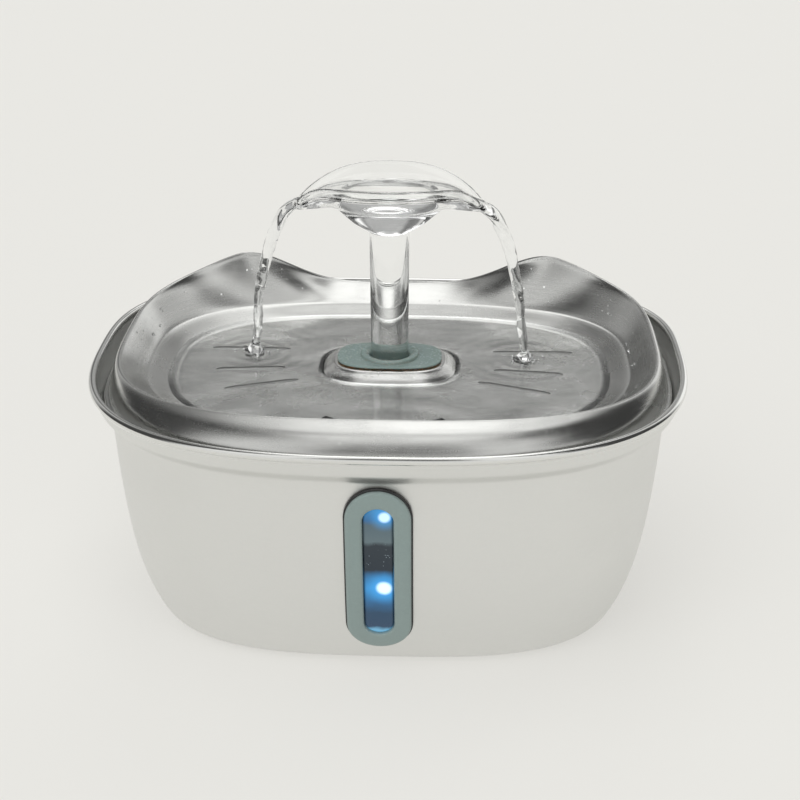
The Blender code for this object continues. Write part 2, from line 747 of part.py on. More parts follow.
def make_seat():
    plate = oval(SEAT_HALF_WIDTH, SEAT_HALF_DEPTH, 3.6)
    bore = TUBE_RADIUS + GAP
    ring_top = SEAT_TOP + SEAT_RING_HEIGHT
    rings = [
        circle(NECK_RADIUS, NECK_FOOT),
        circle(NECK_RADIUS, SEAT_FOOT),
        plate.inset(0.2).at(SEAT_FOOT),
        plate.at(SEAT_FOOT + 0.3),
        plate.at(SEAT_TOP - 0.4),
        plate.inset(0.5).at(SEAT_TOP),
        circle(SEAT_RING_RADIUS + 0.5, SEAT_TOP),
        circle(SEAT_RING_RADIUS, ring_top - 0.4),
        circle(SEAT_RING_RADIUS - 0.5, ring_top),
        circle(bore + 0.8, ring_top),
        circle(bore, ring_top - 0.8),
        circle(bore, NECK_FOOT),
    ]
    add_object("spout_seat", ring_mesh([ring[::2] for ring in rings], loop=True), silicone(), (0, 0, SEAT_FOOT))


def make_spout():
    funnel = oval(FUNNEL_HALF_WIDTH, FUNNEL_HALF_DEPTH)
    neck = TUBE_TOP_RADIUS - TUBE_WALL
    rings = [
        circle(TUBE_RADIUS, TUBE_FOOT),
        circle(TUBE_TOP_RADIUS, FUNNEL_FOOT),
        oval(TUBE_TOP_RADIUS + 5.4, TUBE_TOP_RADIUS + 3.6).at(FUNNEL_FOOT + 2.4),
        funnel.inset(3.2).at(FUNNEL_TOP - 3.4),
        funnel.at(FUNNEL_TOP - 0.5),
        funnel.inset(0.4).at(FUNNEL_TOP),
        funnel.inset(FUNNEL_WALL).at(FUNNEL_TOP),
        funnel.inset(3.2 + FUNNEL_WALL).at(FUNNEL_TOP - 2.6),
        oval(TUBE_TOP_RADIUS + 3.8, TUBE_TOP_RADIUS + 2.2).at(FUNNEL_FOOT + 3.6),
        circle(neck, FUNNEL_FOOT + 0.8),
        circle(TUBE_RADIUS - TUBE_WALL, TUBE_FOOT),
    ]
    rings = [ring[::2] for ring in rings]
    add_object("spout_tube", ring_mesh(rings, loop=True), clear_plastic(), (0, 0, TUBE_FOOT))


def droop(middle, lip):
    """A height that falls from the back of the dish, and later from its front, to its two side lips."""

    def height(angle):
        across = abs(math.cos(angle))
        share = across / math.hypot(across, math.sin(angle) * DISH_HALF_WIDTH / DISH_HALF_DEPTH)
        return middle + (lip - middle) * share ** (2.8 if angle <= math.pi else 7.0)

    return height


def make_dish():
    funnel = oval(FUNNEL_HALF_WIDTH, FUNNEL_HALF_DEPTH)
    collar_foot = FUNNEL_TOP - 1.6
    dish = oval(DISH_HALF_WIDTH, DISH_HALF_DEPTH)
    rings = [
        funnel.inset(-GAP).at(collar_foot),
        funnel.inset(-GAP - 1.2).at(collar_foot),
        oval(FUNNEL_HALF_WIDTH + 7.5, FUNNEL_HALF_DEPTH + 3.0).at(droop(FUNNEL_TOP + 1.2, collar_foot + 0.3)),
        dish.at(droop(DISH_TOP - 0.7, DISH_LIP - 1.6)),
        dish.inset(0.3).at(droop(DISH_TOP, DISH_LIP - 0.2)),
        dish.inset(1.1).at(droop(DISH_TOP - 0.3, DISH_LIP)),
        dish.inset(2.6).at(droop(DISH_TOP - 3.4, DISH_LIP + 0.5)),
        oval(FUNNEL_HALF_WIDTH + 6.0, FUNNEL_HALF_DEPTH + 1.2).at(droop(FUNNEL_TOP + 3.2, DISH_LIP + 1.1)),
        funnel.inset(FUNNEL_WALL).at(FUNNEL_TOP + 1.9),
        funnel.inset(FUNNEL_WALL).at(FUNNEL_TOP + GAP),
        funnel.inset(-GAP).at(FUNNEL_TOP + GAP),
    ]
    rings = [ring[::2] for ring in rings]
    add_object("spout_dish", ring_mesh(rings, loop=True), clear_plastic(), (0, 0, FUNNEL_TOP))


# Filter --------------------------------------------------------------------------------------------------------


def make_filter():
    outline = oval(FILTER_HALF_WIDTH, FILTER_HALF_DEPTH, 5.0)
    inside = outline.inset(FILTER_WALL)
    foot = PUMP_TOP + GAP
    floor = foot + FILTER_WALL
    sleeve = NECK_RADIUS + SLIDE
    sleeve_top = FILTER_TOP - 2.0
    box = [
        circle(sleeve, foot),
        outline.inset(2.0).at(foot),
        outline.inset(0.4).at(foot + 2.0),
        outline.at(FILTER_TOP),
        inside.at(FILTER_TOP),
        inside.inset(2.0).at(floor),
        circle(sleeve + FILTER_WALL, floor),
        circle(sleeve + FILTER_WALL, sleeve_top),
        circle(sleeve, sleeve_top),
    ]
    white = white_plastic()
    box = [ring[::2] for ring in box]
    box = add_object("filter_box", ring_mesh(box, loop=True), white, (0, 0, foot))
    slots = bmesh.new()
    for row in (-1, 1):
        for column in (-1.5, -0.5, 0.5, 1.5):
            x, y = column * 24.0, row * 26.0
            block((x - 8.0, y - 1.5, foot - 1.0), (x + 8.0, y + 1.5, floor + 1.0), bm=slots)
    cut(box, "outflow_slots", slots)

    pad = inside.inset(2.0 + 0.8)
    pad_foot, pad_top = floor + GAP, FILTER_TOP - LID_LIP - 0.8
    hole = sleeve + FILTER_WALL + 0.6
    cartridge = [
        circle(hole, pad_foot + 0.5),
        circle(hole + 1.0, pad_foot),
        pad.inset(2.0).at(pad_foot),
        pad.at(pad_foot + 2.5),
        pad.at(pad_top - 2.5),
        pad.inset(2.0).at(pad_top),
        circle(hole + 1.0, pad_top),
        circle(hole, pad_top - 0.5),
    ]
    cotton = material("filter_cotton", (0.86, 0.87, 0.85), 0.9)
    cartridge = [ring[::2] for ring in cartridge]
    add_object("filter_cartridge", ring_mesh(cartridge, loop=True), cotton, (0, 0, pad_foot))

    lid_foot = FILTER_TOP + GAP
    lid = [
        circle(NECK_RADIUS + SLIDE, lid_foot),
        inside.inset(SLIDE + 1.4).at(lid_foot),
        inside.inset(SLIDE + 1.4).at(FILTER_TOP - LID_LIP),
        inside.inset(SLIDE).at(FILTER_TOP - LID_LIP),
        inside.inset(SLIDE).at(lid_foot),
        outline.at(lid_foot),
        outline.at(lid_foot + LID_THICKNESS - 0.4),
        outline.inset(0.4).at(lid_foot + LID_THICKNESS),
        circle(NECK_RADIUS + SLIDE, lid_foot + LID_THICKNESS),
    ]
    lid = [ring[::2] for ring in lid]
    lid = add_object("filter_lid", ring_mesh(lid, loop=True), white, (0, 0, lid_foot))
    holes = bmesh.new()
    for row in (-1, 1):
        for column in (-1.5, -0.5, 0.5, 1.5):
            x, y = column * 24.0, row * 24.0
            block((x - 8.0, y - 1.5, lid_foot - 1.0), (x + 8.0, y + 1.5, lid_foot + 3.0), bm=holes)
    cut(lid, "lid_slots", holes)


# Pump ----------------------------------------------------------------------------------------------------------


def make_pump_housing():
    black = black_plastic()
    axis = (0.0, 0.0, IMPELLER_HEIGHT)
    chamber_back = -PUMP_FRONT + CHAMBER_DEPTH
    well_back = chamber_back + ROTOR_LENGTH + 1.5
    sleeve_back = well_back + 3.0
    low = (-PUMP_HALF_WIDTH, -PUMP_FRONT, PUMP_BASE)
    high = (PUMP_HALF_WIDTH, PUMP_BACK, PUMP_TOP)
    housing = add_object("pump_housing", block(low, high, bevel=2.5), black, (0, 0, PUMP_BASE))
    nose_low = (-NOSE_HALF_WIDTH, -PUMP_FRONT - NOSE_DEPTH, PUMP_BASE)
    nose_high = (NOSE_HALF_WIDTH, -PUMP_FRONT + 6.0, NOSE_TOP)
    join(housing, "nose", block(nose_low, nose_high, bevel=1.2))
    outlet = [(OUTLET_RADIUS, PUMP_TOP - 3.0), (OUTLET_RADIUS, OUTLET_TOP - 0.6), (OUTLET_RADIUS - 0.5, OUTLET_TOP)]
    join(housing, "outlet", turned(outlet))
    pocket_low = (-PUMP_HALF_WIDTH + POCKET_WALL, chamber_back + 2.2, PUMP_BASE + POCKET_WALL)
    pocket_high = (PUMP_HALF_WIDTH - POCKET_WALL, PUMP_BACK + 2.0, PUMP_TOP - POCKET_WALL)
    cut(housing, "motor_pocket", block(pocket_low, pocket_high, bevel=1.0))
    well_outer = WELL_RADIUS + WELL_WALL
    join(housing, "well_sleeve", turned([(well_outer, chamber_back + 1.0), (well_outer, sleeve_back)], "Y", axis))
    well = [(WELL_RADIUS, chamber_back - 1.0), (WELL_RADIUS, well_back)]
    cut(housing, "rotor_well", turned(well, "Y", axis))
    cut(housing, "chamber", turned([(CHAMBER_RADIUS, -PUMP_FRONT - 2.0), (CHAMBER_RADIUS, chamber_back)], "Y", axis, count=32))
    cut(housing, "outlet_bore", turned([(OUTLET_BORE, IMPELLER_HEIGHT + 9.0), (OUTLET_BORE, OUTLET_TOP + 2.0)]))
    shaft_hole = SHAFT_RADIUS + RUN
    cut(housing, "shaft_hole", turned([(shaft_hole, well_back - 1.0), (shaft_hole, well_back + 2.2)], "Y", axis, count=12))
    led_front = -PUMP_FRONT - NOSE_DEPTH
    led_axis = (0.0, 0.0, (PUMP_BASE + NOSE_TOP) / 2)
    pocket = LED_RADIUS + GAP
    cut(housing, "led_pocket", turned([(pocket, led_front - 1.0), (pocket, led_front + 7.0)], "Y", led_axis, count=16))
    lens = [(LED_RADIUS, led_front + 5.0), (LED_RADIUS, led_front - 0.6), (LED_RADIUS * 0.6, led_front - 1.6)]
    clear_blue = material("led_clear", (0.55, 0.75, 0.95), 0.1)
    add_object("led_lens", turned(lens, "Y", led_axis, count=16), clear_blue, led_axis)
    board = [(LED_RADIUS, led_front + 5.0 + GAP), (LED_RADIUS, led_front + 6.4)]
    green = material("circuit_green", (0.03, 0.22, 0.10), 0.5)
    add_object("led_board", turned(board, "Y", led_axis, count=16), green, led_axis)
    return chamber_back, well_back, sleeve_back


def make_motor(chamber_back, sleeve_back):
    """The stator round the rotor's sleeve, its coil behind, and the plug that seals the pocket."""
    axis = (0.0, 0.0, IMPELLER_HEIGHT)
    bore = WELL_RADIUS + WELL_WALL + GAP
    core_front, core_back = chamber_back + 2.2 + GAP, sleeve_back - 4.0
    core = [(bore, core_front), (STATOR_RADIUS, core_front), (STATOR_RADIUS, core_back), (bore, core_back)]
    iron = material("stator_iron", (0.35, 0.35, 0.36), 0.5, 1.0)
    add_object("stator_core", turned(core, "Y", axis, loop=True), iron, axis)
    coil_front, coil_back = sleeve_back + GAP, PUMP_BACK - 2.6
    coil = [
        (4.0, coil_front),
        (STATOR_RADIUS - 1.0, coil_front),
        (STATOR_RADIUS, coil_front + 1.0),
        (STATOR_RADIUS, coil_back),
        (4.0, coil_back),
    ]
    copper = material("coil_copper", (0.72, 0.32, 0.14), 0.35, 1.0)
    add_object("stator_coil", turned(coil, "Y", axis, loop=True), copper, axis)
    rim = POCKET_WALL + GAP
    low = (-PUMP_HALF_WIDTH + rim, PUMP_BACK - 2.2, PUMP_BASE + rim)
    high = (PUMP_HALF_WIDTH - rim, PUMP_BACK - GAP, PUMP_TOP - rim)
    resin = material("potting_resin", (0.05, 0.05, 0.05), 0.3)
    add_object("potting_plug", block(low, high, bevel=0.6), resin, axis)


def make_impeller(chamber_back, well_back):
    axis = (0.0, 0.0, IMPELLER_HEIGHT)
    hub_front = -PUMP_FRONT + 3.0
    bore = SHAFT_RADIUS + RUN
    disc_back = chamber_back - 1.0
    white = white_plastic()
    hub = [
        (bore, hub_front),
        (4.0, hub_front),
        (4.0, disc_back - 1.4),
        (BLADE_RADIUS, disc_back - 1.4),
        (BLADE_RADIUS, disc_back),
        (bore, disc_back),
    ]
    impeller = add_object("impeller", turned(hub, "Y", axis, loop=True), white, axis)
    blades = bmesh.new()
    for i in range(BLADES):
        turn = Matrix.Rotation(math.tau * i / BLADES, 3, "Y")
        blade = block((3.0, hub_front + 1.0, -0.6), (BLADE_RADIUS - 0.3, disc_back - 0.6, 0.6))
        bmesh.ops.rotate(blade, cent=(0, 0, 0), matrix=turn, verts=blade.verts)
        bmesh.ops.translate(blade, vec=axis, verts=blade.verts)
        offset = {vert: blades.verts.new(vert.co) for vert in blade.verts}
        for face in blade.faces:
            blades.faces.new([offset[vert] for vert in face.verts])
        blade.free()
    join(impeller, "blades", blades)
    magnet_front = disc_back + GAP
    magnet = [
        (bore, magnet_front),
        (ROTOR_RADIUS, magnet_front),
        (ROTOR_RADIUS, magnet_front + ROTOR_LENGTH),
        (bore, magnet_front + ROTOR_LENGTH),
    ]
    ferrite = material("ferrite", (0.09, 0.09, 0.095), 0.5, 0.3)
    add_object("rotor_magnet", turned(magnet, "Y", axis, loop=True), ferrite, axis)
    shaft = [(SHAFT_RADIUS, -PUMP_FRONT - 1.2), (SHAFT_RADIUS, well_back + 2.0)]
    ceramic = material("shaft_ceramic", (0.85, 0.84, 0.80), 0.2)
    add_object("impeller_shaft", turned(shaft, "Y", axis, count=12), ceramic, axis)


def make_impeller_cover():
    axis = (0.0, 0.0, IMPELLER_HEIGHT)
    back = -PUMP_FRONT - GAP
    front = back - 1.4
    bore = SHAFT_RADIUS + RUN
    disc = [(bore, back), (IMPELLER_COVER_RADIUS, back), (IMPELLER_COVER_RADIUS, front), (bore, front)]
    cover = add_object("impeller_cover", turned(disc, "Y", axis, loop=True), white_plastic(), axis)
    inlets = bmesh.new()
    for i in range(BLADES):
        angle = math.tau * (i + 0.5) / BLADES
        centre = (6.5 * math.cos(angle), 0.0, IMPELLER_HEIGHT + 6.5 * math.sin(angle))
        turned([(2.3, front - 1.0), (2.3, back + 1.0)], "Y", centre, count=8, bm=inlets)
    cut(cover, "inlets", inlets)


def make_pump_cover():
    """The cage over the sponge, which slides off forwards, with the flow knob on its face."""
    back = -PUMP_FRONT - GAP
    front = back - COVER_DEPTH
    foot = COVER_FOOT
    low, high = (-COVER_HALF_WIDTH, front, foot), (COVER_HALF_WIDTH, back, COVER_TOP)
    cover = add_object("pump_cover", block(low, high, bevel=1.0), black_plastic(), (0, back, foot))
    wall = COVER_WALL
    inner_low = (low[0] + wall, front + wall, foot + wall)
    inner_high = (high[0] - wall, back + 3.0, COVER_TOP - wall)
    cut(cover, "cage", block(inner_low, inner_high))
    slots = bmesh.new()
    for side in (-1, 1):
        for level in range(-3, 4):
            x, z = side * 12.5, IMPELLER_HEIGHT + level * 3.6
            block((x - 5.5, front - 1.0, z - 0.8), (x + 5.5, front + wall + 1.0, z + 0.8), bm=slots)
    cut(cover, "intake_slots", slots)
    stem = 1.6
    knob_axis = (0.0, 0.0, IMPELLER_HEIGHT)
    cut(cover, "knob_hole", turned([(stem + RUN, front - 1.0), (stem + RUN, front + 3.0)], "Y", knob_axis, count=16))
    knob = [
        (stem, front + wall + 0.9),
        (stem, front - GAP),
        (KNOB_RADIUS, front - GAP),
        (KNOB_RADIUS, front - KNOB_THICKNESS + 0.6),
        (KNOB_RADIUS - 0.6, front - KNOB_THICKNESS),
    ]
    knob = add_object("flow_knob", turned(knob, "Y", knob_axis), silicone(), (0.0, front, IMPELLER_HEIGHT))
    pointer_low = (-0.7, front - KNOB_THICKNESS - 1.6, IMPELLER_HEIGHT - KNOB_RADIUS + 0.8)
    pointer_high = (0.7, front - KNOB_THICKNESS + 1.0, IMPELLER_HEIGHT + KNOB_RADIUS - 0.8)
    join(knob, "knob_grip", block(pointer_low, pointer_high, bevel=0.3))
    sponge_low = (inner_low[0] + 0.6, inner_low[1] + 1.6, inner_low[2] + 0.6)
    sponge_high = (inner_high[0] - 0.6, back - 1.4 - 2 * GAP - 0.6, inner_high[2] - 0.6)
    foam = material("foam", (0.06, 0.065, 0.07), 0.95)
    add_object("pump_sponge", block(sponge_low, sponge_high, bevel=1.5), foam, (0, back, foot))


def make_suction_cups():
    floor = TUB_BASE + SHEET + GAP
    for side, across in (("left", -1), ("right", 1)):
        for end, along in (("front", -PUMP_FRONT + 8.0), ("back", PUMP_BACK - 8.0)):
            centre = (across * CUP_X, along, 0.0)
            profile = [
                (CUP_RADIUS, floor),
                (CUP_RADIUS * 0.75, floor + 1.8),
                (CUP_RADIUS * 0.4, floor + 2.6),
                (CUP_RADIUS * 0.4, PUMP_BASE - 1.6),
                (CUP_RADIUS * 0.6, PUMP_BASE - 1.2),
                (CUP_RADIUS * 0.6, PUMP_BASE - GAP),
            ]
            add_object(f"suction_cup_{end}_{side}", turned(profile, centre=centre, count=12), rubber(), centre)


def main():
    for obj in list(bpy.data.objects):
        bpy.data.objects.remove(obj, do_unlink=True)
    make_tub()
    make_feet()
    make_window()
    make_gland()
    make_tray()
    make_seat()
    make_spout()
    make_dish()
    make_filter()
    chamber_back, well_back, sleeve_back = make_pump_housing()
    make_motor(chamber_back, sleeve_back)
    make_impeller(chamber_back, well_back)
    make_impeller_cover()
    make_pump_cover()
    make_suction_cups()


main()
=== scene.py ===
"""Tabletop water fountain, visual model.

A satin steel tub with a level window, a lift-out steel drinking tray, and a clear spout that sheds two streams.
Sizes are in millimetres round the spout's axis, +Z up and the window facing -Y, and are turned into metres
where a mesh is made.
"""

import logging
import math
import random
from collections.abc import Callable, Iterable, Iterator, Sequence
from dataclasses import dataclass, field, replace
from enum import Enum
from typing import Any, Protocol

import bmesh
import bpy
import numpy as np
from mathutils import Matrix, Vector, noise


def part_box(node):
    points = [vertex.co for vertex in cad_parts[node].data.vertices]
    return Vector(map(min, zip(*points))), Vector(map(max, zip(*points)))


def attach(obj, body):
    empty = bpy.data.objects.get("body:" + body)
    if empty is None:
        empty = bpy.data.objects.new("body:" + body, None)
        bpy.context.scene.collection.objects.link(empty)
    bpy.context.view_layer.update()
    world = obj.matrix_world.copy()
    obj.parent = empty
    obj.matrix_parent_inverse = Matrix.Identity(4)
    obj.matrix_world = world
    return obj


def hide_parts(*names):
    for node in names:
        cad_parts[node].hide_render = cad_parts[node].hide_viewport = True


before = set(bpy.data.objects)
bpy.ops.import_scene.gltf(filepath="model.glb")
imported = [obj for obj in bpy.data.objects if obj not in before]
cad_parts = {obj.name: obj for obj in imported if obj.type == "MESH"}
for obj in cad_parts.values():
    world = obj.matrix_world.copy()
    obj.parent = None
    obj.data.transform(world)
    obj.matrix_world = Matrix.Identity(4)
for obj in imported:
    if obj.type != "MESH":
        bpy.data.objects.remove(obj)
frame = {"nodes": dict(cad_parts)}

LOG = logging.getLogger("fountain")
MM = 0.001
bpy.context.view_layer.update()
AXIS = Vector((0.0, (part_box("spout_tube")[0].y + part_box("spout_tube")[1].y) / 2, 0.0))

Colour = tuple[float, float, float]
Height = float | Callable[[float], float]
Ring = list[Vector]


class Side(Enum):
    """The two halves of the object, seen from the front."""

    LEFT = -1
    RIGHT = 1


class Body(Enum):
    """The moving bodies that pieces ride on."""

    TUB = "tub"
    TRAY = "tray"
    SEAT = "seat"
    SPOUT = "spout"


class Effect(Enum):
    """The shared shader effects, by the names of their node groups."""

    GRAIN = "fine_grain"
    STREAKS = "brushed_streaks"
    WEAR = "edge_wear"
    MARKS = "water_marks"
    DUST = "settled_dust"


# Shader building ---------------------------------------------------------------------------------------------


class Wiring:
    """Adds nodes and links to one node tree."""

    def __init__(self, tree: bpy.types.NodeTree) -> None:
        """Keeps the tree to add to.

        Args:
            tree: A material's, a world's or a group's node tree.
        """
        self.tree = tree

    def add(self, kind: str, inputs: dict[str | int, Any] | None = None, **settings: Any) -> bpy.types.Node:
        """Adds one node.

        Args:
            kind: The node's type name.
            inputs: Values or sockets to link, by input name or number.
            **settings: The node's own properties.

        Returns:
            The new node.
        """
        node = self.tree.nodes.new(kind)
        for key, value in settings.items():
            setattr(node, key, value)
        for key, value in (inputs or {}).items():
            if isinstance(value, bpy.types.NodeSocket):
                self.tree.links.new(value, node.inputs[key])
            else:
                node.inputs[key].default_value = value
        return node

    def place(self, space: str = "Object") -> bpy.types.NodeSocket:
        """The place on the piece in metres, or the world's direction where space is Generated."""
        return self.add("ShaderNodeTexCoord").outputs[space]

    def math(self, operation: str, a: Any, b: Any = 0.0, clamp: bool = False) -> bpy.types.NodeSocket:
        """One calculation.

        Args:
            operation: The Math node's operation.
            a: First value or socket.
            b: Second value or socket.
            clamp: Whether the result stays from 0 to 1.

        Returns:
            The result's socket.
        """
        return self.add("ShaderNodeMath", {0: a, 1: b}, operation=operation, use_clamp=clamp).outputs[0]

    def span(self, value: Any, low: float, high: float, start: float = 0.0, end: float = 1.0) -> bpy.types.NodeSocket:
        """A smooth change from start to end while value goes from low to high.

        Args:
            value: The value or socket that drives the change.
            low: Where the change starts.
            high: Where it ends.
            start: The result up to low.
            end: The result from high on.

        Returns:
            The result's socket.
        """
        wanted = {"Value": value, "From Min": low, "From Max": high, "To Min": start, "To Max": end}
        return self.add("ShaderNodeMapRange", wanted, interpolation_type="SMOOTHSTEP").outputs["Result"]

    def noise(self, vector: Any, scale: float, detail: float = 3.0, rough: float = 0.5) -> bpy.types.NodeSocket:
        """Fractal noise from 0 to 1.

        Args:
            vector: Where it is read.
            scale: Features for each metre.
            detail: Octaves.
            rough: How strong the finer octaves are.

        Returns:
            The noise's socket.
        """
        wanted = {"Vector": vector, "Scale": scale, "Detail": detail, "Roughness": rough}
        return self.add("ShaderNodeTexNoise", wanted).outputs["Fac"]

    def stretched(self, vector: Any, scale: Sequence[float]) -> bpy.types.NodeSocket:
        """The vector with each axis multiplied by its own scale."""
        return self.add("ShaderNodeMapping", {"Vector": vector, "Scale": scale}).outputs["Vector"]

    def mix(self, share: Any, first: Any, second: Any) -> bpy.types.NodeSocket:
        """A colour between two.

        Args:
            share: 0 for the first colour, 1 for the second.
            first: Colour or socket.
            second: Colour or socket.

        Returns:
            The mixed colour's socket.
        """
        node = self.add("ShaderNodeMix", data_type="RGBA")
        sockets = (node.inputs["Factor"], node.inputs[6], node.inputs[7])
        for socket, value in zip(sockets, (share, first, second)):
            if isinstance(value, bpy.types.NodeSocket):
                self.tree.links.new(value, socket)
            elif isinstance(value, tuple):
                socket.default_value = (*value, 1.0)
            else:
                socket.default_value = value
        return node.outputs[2]

    def parts(self, vector: Any) -> tuple[bpy.types.NodeSocket, bpy.types.NodeSocket, bpy.types.NodeSocket]:
        """The three numbers of a vector."""
        node = self.add("ShaderNodeSeparateXYZ", {0: vector})
        return node.outputs[0], node.outputs[1], node.outputs[2]

    def effect(self, effect: Effect, **values: Any) -> bpy.types.Node:
        """Places a shared effect.

        Args:
            effect: Which effect.
            **values: Its inputs by name, with _ for a space.

        Returns:
            The group's node.
        """
        node = self.add("ShaderNodeGroup", node_tree=EffectShelf.group(effect))
        for key, value in values.items():
            socket = node.inputs[key.replace("_", " ")]
            if isinstance(value, bpy.types.NodeSocket):
                self.tree.links.new(value, socket)
            else:
                socket.default_value = value
        return node


class EffectShelf:
    """Builds each shared effect once, as a node group that puts out masks, values and heights."""

    @classmethod
    def group(cls, effect: Effect) -> bpy.types.NodeTree:
        """The effect's node group, built the first time it is asked for."""
        made = bpy.data.node_groups.get(effect.value)
        if made is None:
            made = bpy.data.node_groups.new(effect.value, "ShaderNodeTree")
            getattr(cls, f"_{effect.name.lower()}")(made)
        return made

    @staticmethod
    def _sockets(tree: bpy.types.NodeTree, inputs: dict[str, float], outputs: Iterable[str]) -> tuple[Wiring, Any, Any]:
        """Adds a group's named sockets.

        Args:
            tree: The group.
            inputs: Default value of each input.
            outputs: Names of the outputs.

        Returns:
            The group's wiring, its input node and its output node.
        """
        for name, value in inputs.items():
            socket = tree.interface.new_socket(name=name, in_out="INPUT", socket_type="NodeSocketFloat")
            socket.default_value = value
        for name in outputs:
            tree.interface.new_socket(name=name, in_out="OUTPUT", socket_type="NodeSocketFloat")
        wiring = Wiring(tree)
        return wiring, wiring.add("NodeGroupInput"), wiring.add("NodeGroupOutput")

    @classmethod
    def _grain(cls, tree: bpy.types.NodeTree) -> None:
        """Fine even grain, as of a satin sheet or a moulding."""
        wiring, source, result = cls._sockets(tree, {"Scale": 4000.0, "Contrast": 1.0}, ("Value", "Height"))
        place = wiring.place()
        fine = wiring.add("ShaderNodeTexNoise", {"Vector": place, "Scale": source.outputs["Scale"], "Detail": 2.0})
        coarse_scale = wiring.math("MULTIPLY", source.outputs["Scale"], 0.23)
        coarse = wiring.add("ShaderNodeTexNoise", {"Vector": place, "Scale": coarse_scale, "Detail": 3.0})
        both = wiring.math("ADD", fine.outputs["Fac"], wiring.math("MULTIPLY", coarse.outputs["Fac"], 0.6))
        centred = wiring.math("SUBTRACT", wiring.math("MULTIPLY", both, 0.625), 0.5)
        value = wiring.math("ADD", wiring.math("MULTIPLY", centred, source.outputs["Contrast"]), 0.5, clamp=True)
        tree.links.new(value, result.inputs["Value"])
        tree.links.new(both, result.inputs["Height"])

    @classmethod
    def _streaks(cls, tree: bpy.types.NodeTree) -> None:
        """Short polishing lines that run round the piece."""
        wiring, source, result = cls._sockets(tree, {"Scale": 60.0, "Stretch": 40.0}, ("Value", "Height"))
        x, y, z = wiring.parts(wiring.place())
        turn = wiring.math("ARCTAN2", y, x)
        across = wiring.math("MULTIPLY", z, source.outputs["Stretch"])
        place = wiring.add("ShaderNodeCombineXYZ", {0: wiring.math("MULTIPLY", turn, 0.1), 1: across, 2: 0.0})
        lines = wiring.add(
            "ShaderNodeTexNoise",
            {"Vector": place.outputs[0], "Scale": source.outputs["Scale"], "Detail": 4.0, "Roughness": 0.6},
        )
        tree.links.new(wiring.span(lines.outputs["Fac"], 0.35, 0.65), result.inputs["Value"])
        tree.links.new(lines.outputs["Fac"], result.inputs["Height"])

    @classmethod
    def _wear(cls, tree: bpy.types.NodeTree) -> None:
        """A broken mask on outer edges, where handling has rubbed them."""
        wiring, source, result = cls._sockets(tree, {"Start": 0.52, "End": 0.6, "Break": 900.0}, ("Mask",))
        edge = wiring.add("ShaderNodeNewGeometry").outputs["Pointiness"]
        wanted = {"Value": edge, "From Min": source.outputs["Start"], "From Max": source.outputs["End"]}
        mask = wiring.add("ShaderNodeMapRange", wanted).outputs["Result"]
        patches = wiring.add("ShaderNodeTexNoise", {"Vector": wiring.place(), "Scale": source.outputs["Break"]})
        broken = wiring.math("MULTIPLY", mask, wiring.span(patches.outputs["Fac"], 0.38, 0.6), clamp=True)
        tree.links.new(broken, result.inputs["Mask"])

    @classmethod
    def _marks(cls, tree: bpy.types.NodeTree) -> None:
        """Cloudy wiping marks and the small rings of dried drops."""
        wiring, source, result = cls._sockets(tree, {"Scale": 45.0, "Spots": 420.0}, ("Cloud", "Spot"))
        place = wiring.place()
        cloud = wiring.add(
            "ShaderNodeTexNoise", {"Vector": place, "Scale": source.outputs["Scale"], "Detail": 4.0, "Distortion": 0.8}
        )
        cells = wiring.add("ShaderNodeTexVoronoi", {"Vector": place, "Scale": source.outputs["Spots"]})
        sparse = wiring.add("ShaderNodeTexNoise", {"Vector": place, "Scale": 160.0, "Detail": 1.0})
        spot = wiring.math(
            "MULTIPLY",
            wiring.span(cells.outputs["Distance"], 0.1, 0.2, 1.0, 0.0),
            wiring.span(sparse.outputs["Fac"], 0.6, 0.68),
        )
        tree.links.new(wiring.span(cloud.outputs["Fac"], 0.35, 0.7), result.inputs["Cloud"])
        tree.links.new(spot, result.inputs["Spot"])

    @classmethod
    def _dust(cls, tree: bpy.types.NodeTree) -> None:
        """A thin speckled layer on faces that look upwards."""
        wiring, source, result = cls._sockets(tree, {"Amount": 0.4, "Scale": 700.0}, ("Mask",))
        up = wiring.parts(wiring.add("ShaderNodeNewGeometry").outputs["Normal"])[2]
        specks = wiring.add(
            "ShaderNodeTexNoise", {"Vector": wiring.place(), "Scale": source.outputs["Scale"], "Detail": 5.0}
        )
        layer = wiring.math("MULTIPLY", wiring.span(up, 0.2, 0.95), wiring.span(specks.outputs["Fac"], 0.4, 0.75))
        tree.links.new(wiring.math("MULTIPLY", layer, source.outputs["Amount"], clamp=True), result.inputs["Mask"])


class Finish(Protocol):
    """Anything that can make a material."""

    def make(self) -> bpy.types.Material:
        """Builds or fetches the material."""


